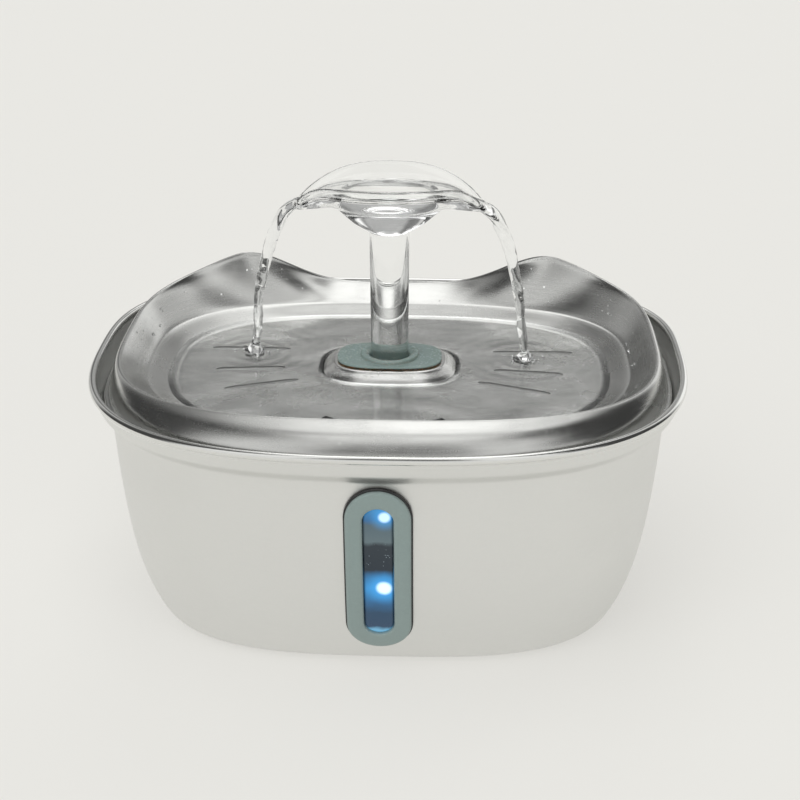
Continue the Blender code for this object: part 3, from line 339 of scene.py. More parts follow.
class Coat:
    """A Principled material under construction."""

    def __init__(self, name: str, metallic: float = 0.0, **constants: Any) -> None:
        """Starts the material.

        Args:
            name: The material's name.
            metallic: 1 for metal.
            **constants: Plain values of Principled sockets, with _ for a space.
        """
        self.material = bpy.data.materials.new(name)
        self.material.use_nodes = True
        self.wiring = Wiring(self.material.node_tree)
        self.shader = self.material.node_tree.nodes["Principled BSDF"]
        self.shader.inputs["Metallic"].default_value = metallic
        for key, value in constants.items():
            self.shader.inputs[key.replace("_", " ")].default_value = value

    def feed(self, socket: str, value: bpy.types.NodeSocket) -> "Coat":
        """Links a changing value or colour to one of the shader's sockets."""
        self.wiring.tree.links.new(value, self.shader.inputs[socket])
        return self

    def relief(self, height: bpy.types.NodeSocket, depth_mm: float, strength: float = 1.0) -> "Coat":
        """Feeds a height through a Bump node into the normal.

        Args:
            height: The height's socket, about 0 to 1.
            depth_mm: How deep 0 to 1 is.
            strength: Share of the bump.

        Returns:
            This coat.
        """
        bump = self.wiring.add("ShaderNodeBump", {"Height": height, "Distance": depth_mm * MM, "Strength": strength})
        return self.feed("Normal", bump.outputs["Normal"])


MADE: dict[str, bpy.types.Material] = {}


def made_once(name: str, build: Callable[[], bpy.types.Material]) -> bpy.types.Material:
    """The material of that name, built if it isn't there yet."""
    if name not in MADE:
        MADE[name] = build()
    return MADE[name]


@dataclass(frozen=True)
class Steel:
    """Drawn stainless sheet: satin, with fine grain, wiping marks and a polished upper edge."""

    name: str
    colour: Colour
    roughness: float
    polished_above: float = 1000.0
    grain_depth: float = 0.012
    mark_strength: float = 0.05

    def make(self) -> bpy.types.Material:
        """Builds or fetches the material."""
        return made_once(self.name, self._build)

    def _build(self) -> bpy.types.Material:
        """Wires the grain, the streaks, the marks and the polish."""
        coat = Coat(self.name, metallic=1.0)
        wiring = coat.wiring
        grain = wiring.effect(Effect.GRAIN, Scale=2600.0, Contrast=1.4)
        streaks = wiring.effect(Effect.STREAKS, Scale=50.0, Stretch=34.0)
        marks = wiring.effect(Effect.MARKS, Scale=38.0, Spots=260.0)
        wear = wiring.effect(Effect.WEAR, Start=0.53, End=0.62, Break=1200.0)
        height = wiring.parts(wiring.place())[2]
        polish = wiring.span(height, (self.polished_above - 0.6) * MM, self.polished_above * MM)
        satin = wiring.math("ADD", self.roughness - 0.04, wiring.math("MULTIPLY", grain.outputs["Value"], 0.07))
        satin = wiring.math("ADD", satin, wiring.math("MULTIPLY", streaks.outputs["Value"], 0.03))
        clouded = wiring.math("MULTIPLY", marks.outputs["Cloud"], self.mark_strength)
        satin = wiring.math("ADD", satin, clouded)
        kept = wiring.math("SUBTRACT", 1.0, wiring.math("MULTIPLY", polish, 0.62))
        coat.feed("Roughness", wiring.math("MULTIPLY", satin, kept, clamp=True))
        darker: Colour = tuple(channel * 0.9 for channel in self.colour)
        tone = wiring.mix(wiring.math("MULTIPLY", grain.outputs["Value"], 0.35), self.colour, darker)
        tone = wiring.mix(wiring.math("MULTIPLY", marks.outputs["Spot"], 0.25), tone, (0.82, 0.82, 0.8))
        tone = wiring.mix(wiring.math("MULTIPLY", wear.outputs["Mask"], 0.3), tone, (0.9, 0.9, 0.89))
        coat.feed("Base Color", tone)
        rough_height = wiring.math("ADD", grain.outputs["Height"], wiring.math("MULTIPLY", streaks.outputs["Height"], 0.6))
        coat.relief(rough_height, self.grain_depth, 0.5)
        return coat.material


@dataclass(frozen=True)
class Moulding:
    """Moulded plastic or rubber with its own grain, rubbed edges and settled dust."""

    name: str
    colour: Colour
    roughness: float
    grain_scale: float = 2200.0
    grain_depth: float = 0.02
    wear_colour: Colour | None = None
    dust: float = 0.15
    constants: tuple[tuple[str, Any], ...] = ()

    def make(self) -> bpy.types.Material:
        """Builds or fetches the material."""
        return made_once(self.name, self._build)

    def _build(self) -> bpy.types.Material:
        """Wires the grain, the edges and the dust."""
        coat = Coat(self.name, **dict(self.constants))
        wiring = coat.wiring
        grain = wiring.effect(Effect.GRAIN, Scale=self.grain_scale, Contrast=1.5)
        wear = wiring.effect(Effect.WEAR, Start=0.53, End=0.6, Break=800.0)
        dust = wiring.effect(Effect.DUST, Amount=self.dust, Scale=900.0)
        dark: Colour = tuple(channel * 0.88 for channel in self.colour)
        light: Colour = self.wear_colour or tuple(min(channel * 1.35 + 0.02, 1.0) for channel in self.colour)
        tone = wiring.mix(grain.outputs["Value"], dark, self.colour)
        tone = wiring.mix(wiring.math("MULTIPLY", wear.outputs["Mask"], 0.5), tone, light)
        tone = wiring.mix(dust.outputs["Mask"], tone, (0.5, 0.49, 0.46))
        coat.feed("Base Color", tone)
        rough = wiring.math("ADD", self.roughness - 0.06, wiring.math("MULTIPLY", grain.outputs["Value"], 0.12))
        coat.feed("Roughness", wiring.math("ADD", rough, wiring.math("MULTIPLY", dust.outputs["Mask"], 0.3), clamp=True))
        coat.relief(grain.outputs["Height"], self.grain_depth, 0.45)
        return coat.material


@dataclass(frozen=True)
class Clear:
    """A clear body: moulded acrylic or water."""

    name: str
    tint: Colour
    ior: float
    ripple_scale: float = 90.0
    ripple_depth: float = 0.05

    def make(self) -> bpy.types.Material:
        """Builds or fetches the material."""
        return made_once(self.name, self._build)

    def _build(self) -> bpy.types.Material:
        """Wires a faint unevenness of the surface and of its gloss."""
        coat = Coat(self.name, Transmission_Weight=1.0, IOR=self.ior)
        wiring = coat.wiring
        place = wiring.place()
        wave = wiring.noise(place, self.ripple_scale, 2.0)
        marks = wiring.effect(Effect.MARKS, Scale=120.0, Spots=500.0)
        coat.feed("Base Color", wiring.mix(wiring.math("MULTIPLY", marks.outputs["Cloud"], 0.03), self.tint, (0.9, 0.93, 0.93)))
        coat.feed("Roughness", wiring.math("MULTIPLY", marks.outputs["Cloud"], 0.012))
        coat.relief(wave, self.ripple_depth, 1.0)
        return coat.material


@dataclass(frozen=True)
class Bands:
    """A metal or plastic with regular lines: a coil's wire or a core's sheets."""

    name: str
    colour: Colour
    gap_colour: Colour
    pitch_mm: float
    roughness: float
    metallic: float = 1.0
    axis: str = "Y"

    def make(self) -> bpy.types.Material:
        """Builds or fetches the material."""
        return made_once(self.name, self._build)

    def _build(self) -> bpy.types.Material:
        """Wires the lines as colour and relief."""
        coat = Coat(self.name, metallic=self.metallic)
        wiring = coat.wiring
        wanted = {"Vector": wiring.place(), "Scale": math.pi / (10 * self.pitch_mm * MM), "Distortion": 0.3, "Detail": 1.0}
        wave = wiring.add("ShaderNodeTexWave", wanted, wave_type="BANDS", bands_direction=self.axis).outputs["Fac"]
        grain = wiring.effect(Effect.GRAIN, Scale=3000.0, Contrast=1.2)
        coat.feed("Base Color", wiring.mix(wiring.span(wave, 0.1, 0.45), self.gap_colour, self.colour))
        rough = wiring.math("ADD", self.roughness, wiring.math("MULTIPLY", grain.outputs["Value"], 0.15), clamp=True)
        coat.feed("Roughness", rough)
        coat.relief(wave, self.pitch_mm * 0.3)
        return coat.material


@dataclass(frozen=True)
class Fibre:
    """Felted cotton or open foam: a deep irregular surface."""

    name: str
    colour: Colour
    shade: Colour
    scale: float
    depth_mm: float

    def make(self) -> bpy.types.Material:
        """Builds or fetches the material."""
        return made_once(self.name, self._build)

    def _build(self) -> bpy.types.Material:
        """Wires cells and fibres as colour and relief."""
        coat = Coat(self.name, Sheen_Weight=0.2, Sheen_Roughness=0.5)
        wiring = coat.wiring
        place = wiring.place()
        cells = wiring.add("ShaderNodeTexVoronoi", {"Vector": place, "Scale": self.scale}).outputs["Distance"]
        fibres = wiring.noise(wiring.stretched(place, (1.0, 2.5, 1.6)), self.scale * 2.2, 5.0, 0.65)
        height = wiring.math("ADD", cells, wiring.math("MULTIPLY", fibres, 0.7))
        coat.feed("Base Color", wiring.mix(wiring.span(height, 0.35, 1.0), self.shade, self.colour))
        coat.feed("Roughness", wiring.span(height, 0.2, 1.0, 0.8, 1.0))
        coat.relief(height, self.depth_mm)
        return coat.material


@dataclass(frozen=True)
class PaintedGlowPane:
    """The level window's pane: dark, with the lit water, the float's bands and the lamp's glare behind it, all painted
    glow.
    """

    name: str
    foot: float
    top: float

    def make(self) -> bpy.types.Material:
        """Builds or fetches the material."""
        return made_once(self.name, self._build)

    def _build(self) -> bpy.types.Material:
        """Wires the painted glow up the pane's height, with painted shade towards the slot's sides."""
        coat = Coat(self.name, Emission_Strength=1.0, Coat_Weight=0.0, IOR=1.45)
        wiring = coat.wiring
        place = wiring.place()
        swirl = wiring.noise(place, 260.0, 3.0)
        x, _, z = wiring.parts(place)
        wobble = wiring.math("MULTIPLY", wiring.math("SUBTRACT", swirl, 0.5), 2.4 * MM)
        level = wiring.math("ADD", z, wobble)
        share = wiring.math("DIVIDE", wiring.math("SUBTRACT", level, self.foot * MM), (self.top - self.foot) * MM)
        # painted light: the pane glows with the lit water, the float's bands and the lamp's glare, though it is no lamp
        ramp = wiring.add("ShaderNodeValToRGB", {0: share})
        self._stops(ramp.color_ramp)
        glow = ramp.outputs["Color"]
        for across, up, radius, strength in ((1.8, 36.9, 3.4, 1.0), (2.1, 64.9, 2.6, 0.75)):
            glow = self._painted_glare(wiring, glow, (x, z), (across, up), (radius, strength))
        specks = wiring.add("ShaderNodeTexVoronoi", {"Vector": place, "Scale": 900.0}).outputs["Distance"]
        in_band = wiring.math("MULTIPLY", wiring.span(z, 0.0425, 0.0445), wiring.span(z, 0.0535, 0.0555, 1.0, 0.0))
        dots = wiring.math("MULTIPLY", wiring.span(specks, 0.08, 0.16, 1.0, 0.0), in_band)
        glow = wiring.mix(wiring.math("MULTIPLY", dots, 0.6), glow, (0.45, 0.55, 0.6))
        # painted shade: the glow darkens towards the slot's two sides, next to the bezel
        edge = wiring.span(wiring.math("ABSOLUTE", x), 3.9 * MM, 4.9 * MM, 0.0, 0.75)
        glow = wiring.mix(edge, glow, (0.004, 0.006, 0.01))
        coat.feed("Emission Color", glow)
        coat.feed("Base Color", wiring.mix(share, (0.01, 0.015, 0.02), (0.02, 0.025, 0.03)))
        coat.feed("Roughness", wiring.span(swirl, 0.2, 0.8, 0.05, 0.1))
        return coat.material

    @staticmethod
    def _stops(ramp: bpy.types.ColorRamp) -> None:
        """Sets the bands from the pane's foot to its top."""
        stops = (
            (0.0, (0.10, 0.30, 0.48)),
            (0.03, (0.16, 0.42, 0.62)),
            (0.06, (0.02, 0.05, 0.10)),
            (0.18, (0.015, 0.05, 0.10)),
            (0.28, (0.02, 0.12, 0.27)),
            (0.38, (0.03, 0.25, 0.55)),
            (0.47, (0.02, 0.16, 0.36)),
            (0.53, (0.006, 0.012, 0.02)),
            (0.72, (0.010, 0.016, 0.022)),
            (0.75, (0.10, 0.14, 0.15)),
            (0.88, (0.07, 0.11, 0.13)),
            (0.91, (0.02, 0.12, 0.28)),
            (1.0, (0.04, 0.22, 0.45)),
        )
        ramp.elements[0].position, ramp.elements[0].color = stops[0][0], (*stops[0][1], 1.0)
        ramp.elements[1].position, ramp.elements[1].color = stops[-1][0], (*stops[-1][1], 1.0)
        for position, colour in stops[1:-1]:
            ramp.elements.new(position).color = (*colour, 1.0)

    @staticmethod
    def _painted_glare(
        wiring: Wiring, under: bpy.types.NodeSocket, place: tuple[Any, Any], centre: tuple[float, float], size: tuple[float, float]
    ) -> bpy.types.NodeSocket:
        """Adds one lamp's painted glare: a white core and a blue halo.

        Args:
            wiring: Where to add it.
            under: The glow so far.
            place: Sockets of the place across and up.
            centre: The lamp's place in millimetres.
            size: Its radius in millimetres and its strength.

        Returns:
            The new glow's socket.
        """
        radius, strength = size
        across = wiring.math("SUBTRACT", place[0], centre[0] * MM)
        up = wiring.math("SUBTRACT", place[1], centre[1] * MM)
        away = wiring.math("SQRT", wiring.math("ADD", wiring.math("MULTIPLY", across, across), wiring.math("MULTIPLY", up, up)))
        halo = wiring.span(away, 0.2 * radius * MM, 2.3 * radius * MM, 0.85 * strength, 0.0)
        core = wiring.span(away, 0.45 * radius * MM, 0.95 * radius * MM, strength, 0.0)
        haloed = wiring.mix(halo, under, (0.05, 0.42, 0.95))
        return wiring.mix(core, haloed, (0.92, 1.25, 1.6))


# Mesh building -----------------------------------------------------------------------------------------------


@dataclass(frozen=True)
class Outline:
    """A closed plan outline: superellipse halves that meet at the sides."""

    half_width: float
    front: float
    back: float
    front_power: float = 2.0
    back_power: float = 2.0

    def inset(self, distance: float) -> "Outline":
        """The outline moved inwards."""
        return replace(
            self, half_width=self.half_width - distance, front=self.front - distance, back=self.back - distance
        )

    def towards(self, other: "Outline", share: float) -> "Outline":
        """An outline a share of the way to another."""
        mixed = (
            getattr(self, name) + (getattr(other, name) - getattr(self, name)) * share
            for name in ("half_width", "front", "back", "front_power", "back_power")
        )
        return Outline(*mixed)

    def point(self, angle: float, height: float) -> Vector:
        """The outline's point at an angle in radians from +X."""
        depth, power = (self.back, self.back_power) if angle <= math.pi else (self.front, self.front_power)
        across = (abs(math.cos(angle)) / self.half_width) ** power
        along = (abs(math.sin(angle)) / depth) ** power
        reach = (across + along) ** (-1 / power)
        return Vector((reach * math.cos(angle), reach * math.sin(angle), height))

    def at(self, height: Height, count: int = 256) -> Ring:
        """The outline as a ring.

        Args:
            height: A height, or a function of the angle in radians.
            count: Points round it.

        Returns:
            The ring's points.
        """
        angles = [math.tau * i / count for i in range(count)]
        return [self.point(angle, height(angle) if callable(height) else height) for angle in angles]


def circle(radius: float, height: float, count: int = 256) -> Ring:
    """A round ring about the spout's axis."""
    return Outline(radius, radius, radius).at(height, count)


def oval(half_width: float, half_depth: float, power: float = 2.0) -> Outline:
    """An outline that is the same at the front and the back."""
    return Outline(half_width, half_depth, half_depth, power, power)


def refined(rings: Sequence[Ring], steps: int, loop: bool = False) -> list[Ring]:
    """Adds rings between the given ones on a smooth curve that passes through each.

    Args:
        rings: Rings with the same number of points.
        steps: Spans between each pair.
        loop: Whether the last ring joins the first.

    Returns:
        The finer list of rings.
    """
    points = np.array([[tuple(p) for p in ring] for ring in rings])
    count = len(points)
    made: list[np.ndarray] = []
    for i in range(count if loop else count - 1):
        picks = [(i + k) % count if loop else min(max(i + k, 0), count - 1) for k in (-1, 0, 1, 2)]
        p0, p1, p2, p3 = (points[k] for k in picks)
        gap = [max(np.linalg.norm(b - a, axis=1).mean(), 1e-3) ** 0.5 for a, b in ((p0, p1), (p1, p2), (p2, p3))]
        start = (p2 - p1) * gap[0] + (p1 - p0) * gap[1] ** 2 / gap[0]
        start = start / (gap[0] + gap[1])
        end = (p2 - p1) * gap[2] + (p3 - p2) * gap[1] ** 2 / gap[2]
        end = end / (gap[1] + gap[2])
        for step in range(steps):
            t = step / steps
            made.append(
                (2 * t**3 - 3 * t**2 + 1) * p1
                + (t**3 - 2 * t**2 + t) * start
                + (3 * t**2 - 2 * t**3) * p2
                + (t**3 - t**2) * end
            )
    if not loop:
        made.append(points[-1])
    return [[Vector(p) for p in ring] for ring in made]


def thickened(rings: Sequence[Ring], thickness: float) -> list[Ring]:
    """The same rings moved inwards by a sheet's thickness, square to the profile at every angle."""
    moved = []
    for i, ring in enumerate(rings):
        before, after = rings[max(i - 1, 0)], rings[min(i + 1, len(rings) - 1)]
        inner = []
        for j, point in enumerate(ring):
            normal = Vector((0.0, 0.0))
            for start, end in ((before[j], point), (point, after[j])):
                run, rise = end.xy.length - start.xy.length, end.z - start.z
                size = math.hypot(run, rise)
                if size > 1e-6:
                    normal += Vector((-rise, run)) / size
            normal.normalize()
            shift = point.xy.normalized() * normal.x * thickness
            inner.append(Vector((point.x + shift.x, point.y + shift.y, point.z + normal.y * thickness)))
        moved.append(inner)
    return moved


class Piece:
    """One object under construction, in millimetres round the spout's axis."""

    def __init__(self, name: str) -> None:
        """Starts an empty mesh under a name."""
        self.name = name
        self.bm = bmesh.new()

    def loft(self, rings: Sequence[Ring], loop: bool = False, caps: bool = True) -> "Piece":
        """Bridges rings of equal length.

        Args:
            rings: The rings in order.
            loop: Whether the last ring joins the first.
            caps: Whether open ends are closed.

        Returns:
            This piece.
        """
        made = [[self.bm.verts.new(point) for point in ring] for ring in rings]
        pairs = list(zip(made, made[1:] + made[:1])) if loop else list(zip(made, made[1:]))
        count = len(made[0])
        for low, high in pairs:
            for i in range(count):
                j = (i + 1) % count
                self.bm.faces.new((low[i], low[j], high[j], high[i]))
        if caps and not loop:
            self.bm.faces.new(made[0])
            self.bm.faces.new(made[-1])
        return self

    def bead(self, centre: Vector, radii: Sequence[float], up: Vector, detail: int = 2) -> "Piece":
        """Adds a drop.

        Args:
            centre: Its middle.
            radii: Its radii, the last along up.
            up: The way that its short side faces.
            detail: How fine its faces are.

        Returns:
            This piece.
        """
        turn = up.to_track_quat("Z", "Y").to_matrix().to_4x4()
        matrix = Matrix.Translation(centre) @ turn @ Matrix.Diagonal((*radii, 1.0))
        bmesh.ops.create_icosphere(self.bm, subdivisions=detail, radius=1.0, matrix=matrix)
        return self

    def object(self, sharp: float = 40.0) -> bpy.types.Object:
        """Makes the object in metres, smooth but for edges sharper than an angle."""
        bmesh.ops.recalc_face_normals(self.bm, faces=self.bm.faces)
        bmesh.ops.scale(self.bm, vec=(MM, MM, MM), verts=self.bm.verts)
        bmesh.ops.translate(self.bm, vec=AXIS, verts=self.bm.verts)
        mesh = bpy.data.meshes.new(self.name)
        self.bm.to_mesh(mesh)
        self.bm.free()
        mesh.shade_smooth()
        mesh.set_sharp_from_angle(angle=math.radians(sharp))
        made = bpy.data.objects.new(self.name, mesh)
        bpy.context.scene.collection.objects.link(made)
        return made


def settle(obj: bpy.types.Object) -> bpy.types.Object:
    """Applies the object's modifiers to its mesh."""
    bpy.context.view_layer.update()
    final = bpy.data.meshes.new_from_object(obj.evaluated_get(bpy.context.evaluated_depsgraph_get()))
    final.name = obj.name
    obj.modifiers.clear()
    obj.data = final
    return obj


def carve(obj: bpy.types.Object, cutters: Iterable[bpy.types.Object], sharp: float) -> bpy.types.Object:
    """Cuts other objects' shapes out of one, and removes them.

    Args:
        obj: The object to cut.
        cutters: The shapes to take out.
        sharp: Angle in degrees past which an edge is drawn sharp.

    Returns:
        The cut object.
    """
    cutters = list(cutters)
    for cutter in cutters:
        modifier = obj.modifiers.new(cutter.name, "BOOLEAN")
        modifier.operation, modifier.solver, modifier.object = "DIFFERENCE", "EXACT", cutter
    settle(obj)
    for cutter in cutters:
        bpy.data.objects.remove(cutter, do_unlink=True)
    obj.data.set_sharp_from_angle(angle=math.radians(sharp))
    return obj


def dress(obj: bpy.types.Object, finish: Finish, body: Body, stands_for: Sequence[str] = ()) -> bpy.types.Object:
    """Gives a piece its finish and its body.

    Args:
        obj: The piece.
        finish: What it is made of.
        body: The body that it rides on.
        stands_for: CAD nodes that it takes the place of.

    Returns:
        The piece.
    """
    obj.data.materials.clear()
    obj.data.materials.append(finish.make())
    if stands_for:
        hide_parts(*stands_for)
    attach(obj, body.value)
    LOG.info("%s: %d faces, on %s", obj.name, len(obj.data.polygons), body.value)
    return obj


# Sub-assemblies ----------------------------------------------------------------------------------------------


@dataclass
class Tub:
    """The drawn steel tub: leaning walls, a shoulder, a flared collar and a beaded rim."""

    sheet: float = 0.8
    half_width: float = 105.0
    front: float = 91.0
    back: float = 73.0
    height: float = 88.8
    bead_radius: float = 1.4
    collar_height: float = 8.4
    collar_flare: float = 3.1
    shoulder_drop: float = 3.2
    shoulder_width: float = 3.2
    lean: float = 7.2
    tuck: float = 8.2
    tuck_power: float = 4.5
    base_round: float = 2.6
    base: float = 1.5
    gland_height: float = 66.0
    gland_radius: float = 4.4

    @property
    def crease(self) -> float:
        """Height of the collar's foot."""
        return self.height - self.collar_height

    @property
    def shoulder_inset(self) -> float:
        """How far the wall's top stands inside the rim."""
        return self.collar_flare + self.shoulder_width

    def wall_inset(self, height: float) -> float:
        """How far the wall's outer face stands inside the rim's outline."""
        low = 1 - (height - self.base) / (self.crease - self.base)
        return self.shoulder_inset + self.lean * low + self.tuck * max(low, 0.0) ** self.tuck_power

    def face(self, height: float) -> float:
        """How far in front of the spout's axis the wall stands on the centre line."""
        return self.front - self.wall_inset(height)

    def outline(self, height: float, inset: float) -> Outline:
        """The plan outline at a height."""
        share = min(max((height - self.base) / (self.crease - self.base), 0.0), 1.0)
        powers = (3.1 - 0.4 * share, 3.0 - 0.1 * share)
        return Outline(self.half_width, self.front, self.back, *powers).inset(inset)

    def ring(self, height: float, inset: float) -> Ring:
        """The plan outline at a height, as a ring."""
        return self.outline(height, inset).at(height)

    def profile(self) -> list[Ring]:
        """The outer face from the flat base to the foot of the bead."""
        foot = self.wall_inset(self.base)
        shoulder = self.crease - self.shoulder_drop
        rings = [
            self.ring(self.base, foot + self.base_round + 4.0),
            self.ring(self.base, foot + self.base_round),
            self.ring(self.base + 0.25, foot + self.base_round * 0.4),
            self.ring(self.base + 1.3, foot - 0.4),
        ]
        for share in (0.06, 0.13, 0.22, 0.34, 0.5, 0.7):
            height = self.base + (self.crease - self.base) * share
            rings.append(self.ring(height, self.wall_inset(height)))
        rings += [
            self.ring(shoulder - 1.0, self.wall_inset(shoulder - 1.0)),
            self.ring(shoulder + 0.4, self.shoulder_inset - 0.3),
            self.ring(self.crease - 0.2, self.collar_flare + 0.3),
            self.ring(self.crease + 0.8, self.collar_flare - 0.4),
            self.ring(self.height - 2 * self.bead_radius - 0.6, self.bead_radius * 0.75),
        ]
        return rings

    def bead(self) -> list[Ring]:
        """The rolled rim, from its underside over to the inside."""
        rings = []
        for degrees in range(-55, 171, 25):
            angle = math.radians(degrees)
            inset = self.bead_radius * (1 - math.cos(angle))
            rings.append(self.ring(self.height - self.bead_radius * (1 - math.sin(angle)), inset))
        return rings

    def build(self, window: "Window") -> bpy.types.Object:
        """Makes the tub, with its holes for the window and the cable.

        Args:
            window: The level window, which says how large its hole is.

        Returns:
            The tub.
        """
        outer = self.profile()
        rings = refined(outer + self.bead() + thickened(outer, self.sheet)[::-1], 3)
        tub = Piece("tub_shell").loft(rings).object(60.0)
        hole = Piece("window_hole").loft([window.flat_ring(y) for y in (-self.front - 5, -self.front + 25)]).object()
        lean = math.atan((self.wall_inset(self.gland_height - 1) - self.wall_inset(self.gland_height + 1)) / 2)
        place = Vector((0.0, self.back - self.wall_inset(self.gland_height), self.gland_height))
        turn = Matrix.Rotation(-lean - math.pi / 2, 3, "X")
        rings = [[turn @ p + place for p in circle(self.gland_radius, along, 48)] for along in (-6.0, 6.0)]
        gland = Piece("gland_hole").loft(rings).object()
        return carve(tub, (hole, gland), 60.0)

    def dress(self, tub: bpy.types.Object) -> None:
        """Gives the tub its satin steel."""
        finish = Steel("tub_satin_steel", (0.79, 0.792, 0.775), 0.36, polished_above=self.height - 2.9)
        dress(tub, finish, Body.TUB, ("tub",))


@dataclass
class Window:
    """The level window: a gasket, a bezel round a slot, and a pane with painted glow."""

    tub: Tub
    width: float = 21.4
    foot: float = 10.7
    top: float = 74.5
    slot_width: float = 10.1
    slot_height: float = 51.2
    hole_lap: float = 2.3
    gap: float = 0.3
    gasket: float = 0.6
    gasket_proud: float = 0.55
    thickness: float = 1.5
    spigot: float = 4.0
    steps: int = 24

    def stadium(self, width: float, foot: float, top: float) -> list[tuple[float, float]]:
        """An upright stadium as (x, z) points from its top, clockwise.

        Args:
            width: Its width.
            foot: Its lowest height.
            top: Its highest.

        Returns:
            The points.
        """
        half = width / 2
        right = []
        for i in range(self.steps + 1):
            angle = math.pi / 2 * (1 - i / self.steps)
            right.append((half * math.cos(angle), top - half + half * math.sin(angle)))
        for i in range(1, self.steps):
            right.append((half, top - half + (foot - top + 2 * half) * i / self.steps))
        for i in range(self.steps + 1):
            angle = -math.pi / 2 * i / self.steps
            right.append((half * math.cos(angle), foot + half + half * math.sin(angle)))
        right[0], right[-1] = (0.0, top), (0.0, foot)
        return right + [(-x, z) for x, z in right[-2:0:-1]]

    def ring(self, grow: float, outwards: float, slot: bool = False) -> Ring:
        """A stadium laid on the wall.

        Args:
            grow: How much larger than the bezel, or than the slot.
            outwards: How far in front of the wall's face.
            slot: Whether it follows the slot and not the bezel.

        Returns:
            The ring.
        """
        middle = (self.foot + self.top) / 2
        size = (self.width, self.foot, self.top)
        if slot:
            size = (self.slot_width, middle - self.slot_height / 2, middle + self.slot_height / 2)
        points = self.stadium(size[0] + 2 * grow, size[1] - grow, size[2] + grow)
        return [Vector((x, -self.tub.face(z) - outwards, z)) for x, z in points]

    def flat_ring(self, y: float) -> Ring:
        """The wall's hole, as a ring in one upright plane."""
        points = self.stadium(self.width - 2 * self.hole_lap, self.foot + self.hole_lap, self.top - self.hole_lap)
        return [Vector((x, y, z)) for x, z in points]

    def build(self) -> dict[str, bpy.types.Object]:
        """Makes the gasket, the bezel and the pane.

        Returns:
            The three pieces by name.
        """
        back = self.gap + self.gasket + self.gap
        front = back + self.thickness
        gasket = [
            self.ring(self.gasket_proud - 0.1, self.gap),
            self.ring(self.gasket_proud, self.gap + 0.15),
            self.ring(self.gasket_proud, self.gap + self.gasket - 0.15),
            self.ring(self.gasket_proud - 0.15, self.gap + self.gasket),
            self.ring(0.2 - self.hole_lap, self.gap + self.gasket),
            self.ring(0.2 - self.hole_lap, self.gap),
        ]
        bezel = [
            self.ring(0.0, back),
            self.ring(0.0, front - 0.75),
            self.ring(-0.12, front - 0.3),
            self.ring(-0.45, front - 0.06),
            self.ring(-0.95, front),
            self.ring(1.0, front - 0.02, slot=True),
            self.ring(0.45, front - 0.1, slot=True),
            self.ring(0.12, front - 0.4, slot=True),
            self.ring(0.0, front - 0.9, slot=True),
            self.ring(0.0, -self.spigot, slot=True),
            self.ring(-0.4 - self.hole_lap, -self.spigot),
            self.ring(-0.4 - self.hole_lap, back),
        ]
        lens = [
            self.ring(-3.0, front - 1.08, slot=True),
            self.ring(-1.0, front - 1.05, slot=True),
            self.ring(-self.gap - 0.25, front - 1.1, slot=True),
            self.ring(-self.gap, front - 1.35, slot=True),
            self.ring(-self.gap, -self.spigot - self.gap, slot=True),
            self.ring(0.9, -self.spigot - self.gap, slot=True),
            self.ring(0.9, -self.spigot - self.gap - 1.5, slot=True),
        ]
        return {
            "gasket": Piece("window_seal").loft(gasket, loop=True).object(50.0),
            "bezel": Piece("window_frame").loft(bezel, loop=True).object(50.0),
            "lens": Piece("window_pane").loft(lens).object(50.0),
        }

    def dress(self, pieces: dict[str, bpy.types.Object]) -> None:
        """Gives each of the window's pieces its finish."""
        rubber = Moulding("seal_rubber", (0.018, 0.019, 0.02), 0.55)
        bezel = Moulding("bezel_plastic", (0.26, 0.33, 0.32), 0.36, 1600.0, 0.008, dust=0.05)
        middle = (self.foot + self.top) / 2
        pane = PaintedGlowPane("painted_glow_pane", middle - self.slot_height / 2, middle + self.slot_height / 2)
        dress(pieces["gasket"], rubber, Body.TUB, ("window_gasket",))
        dress(pieces["bezel"], bezel, Body.TUB, ("window_bezel",))
        dress(pieces["lens"], pane, Body.TUB, ("window_lens",))


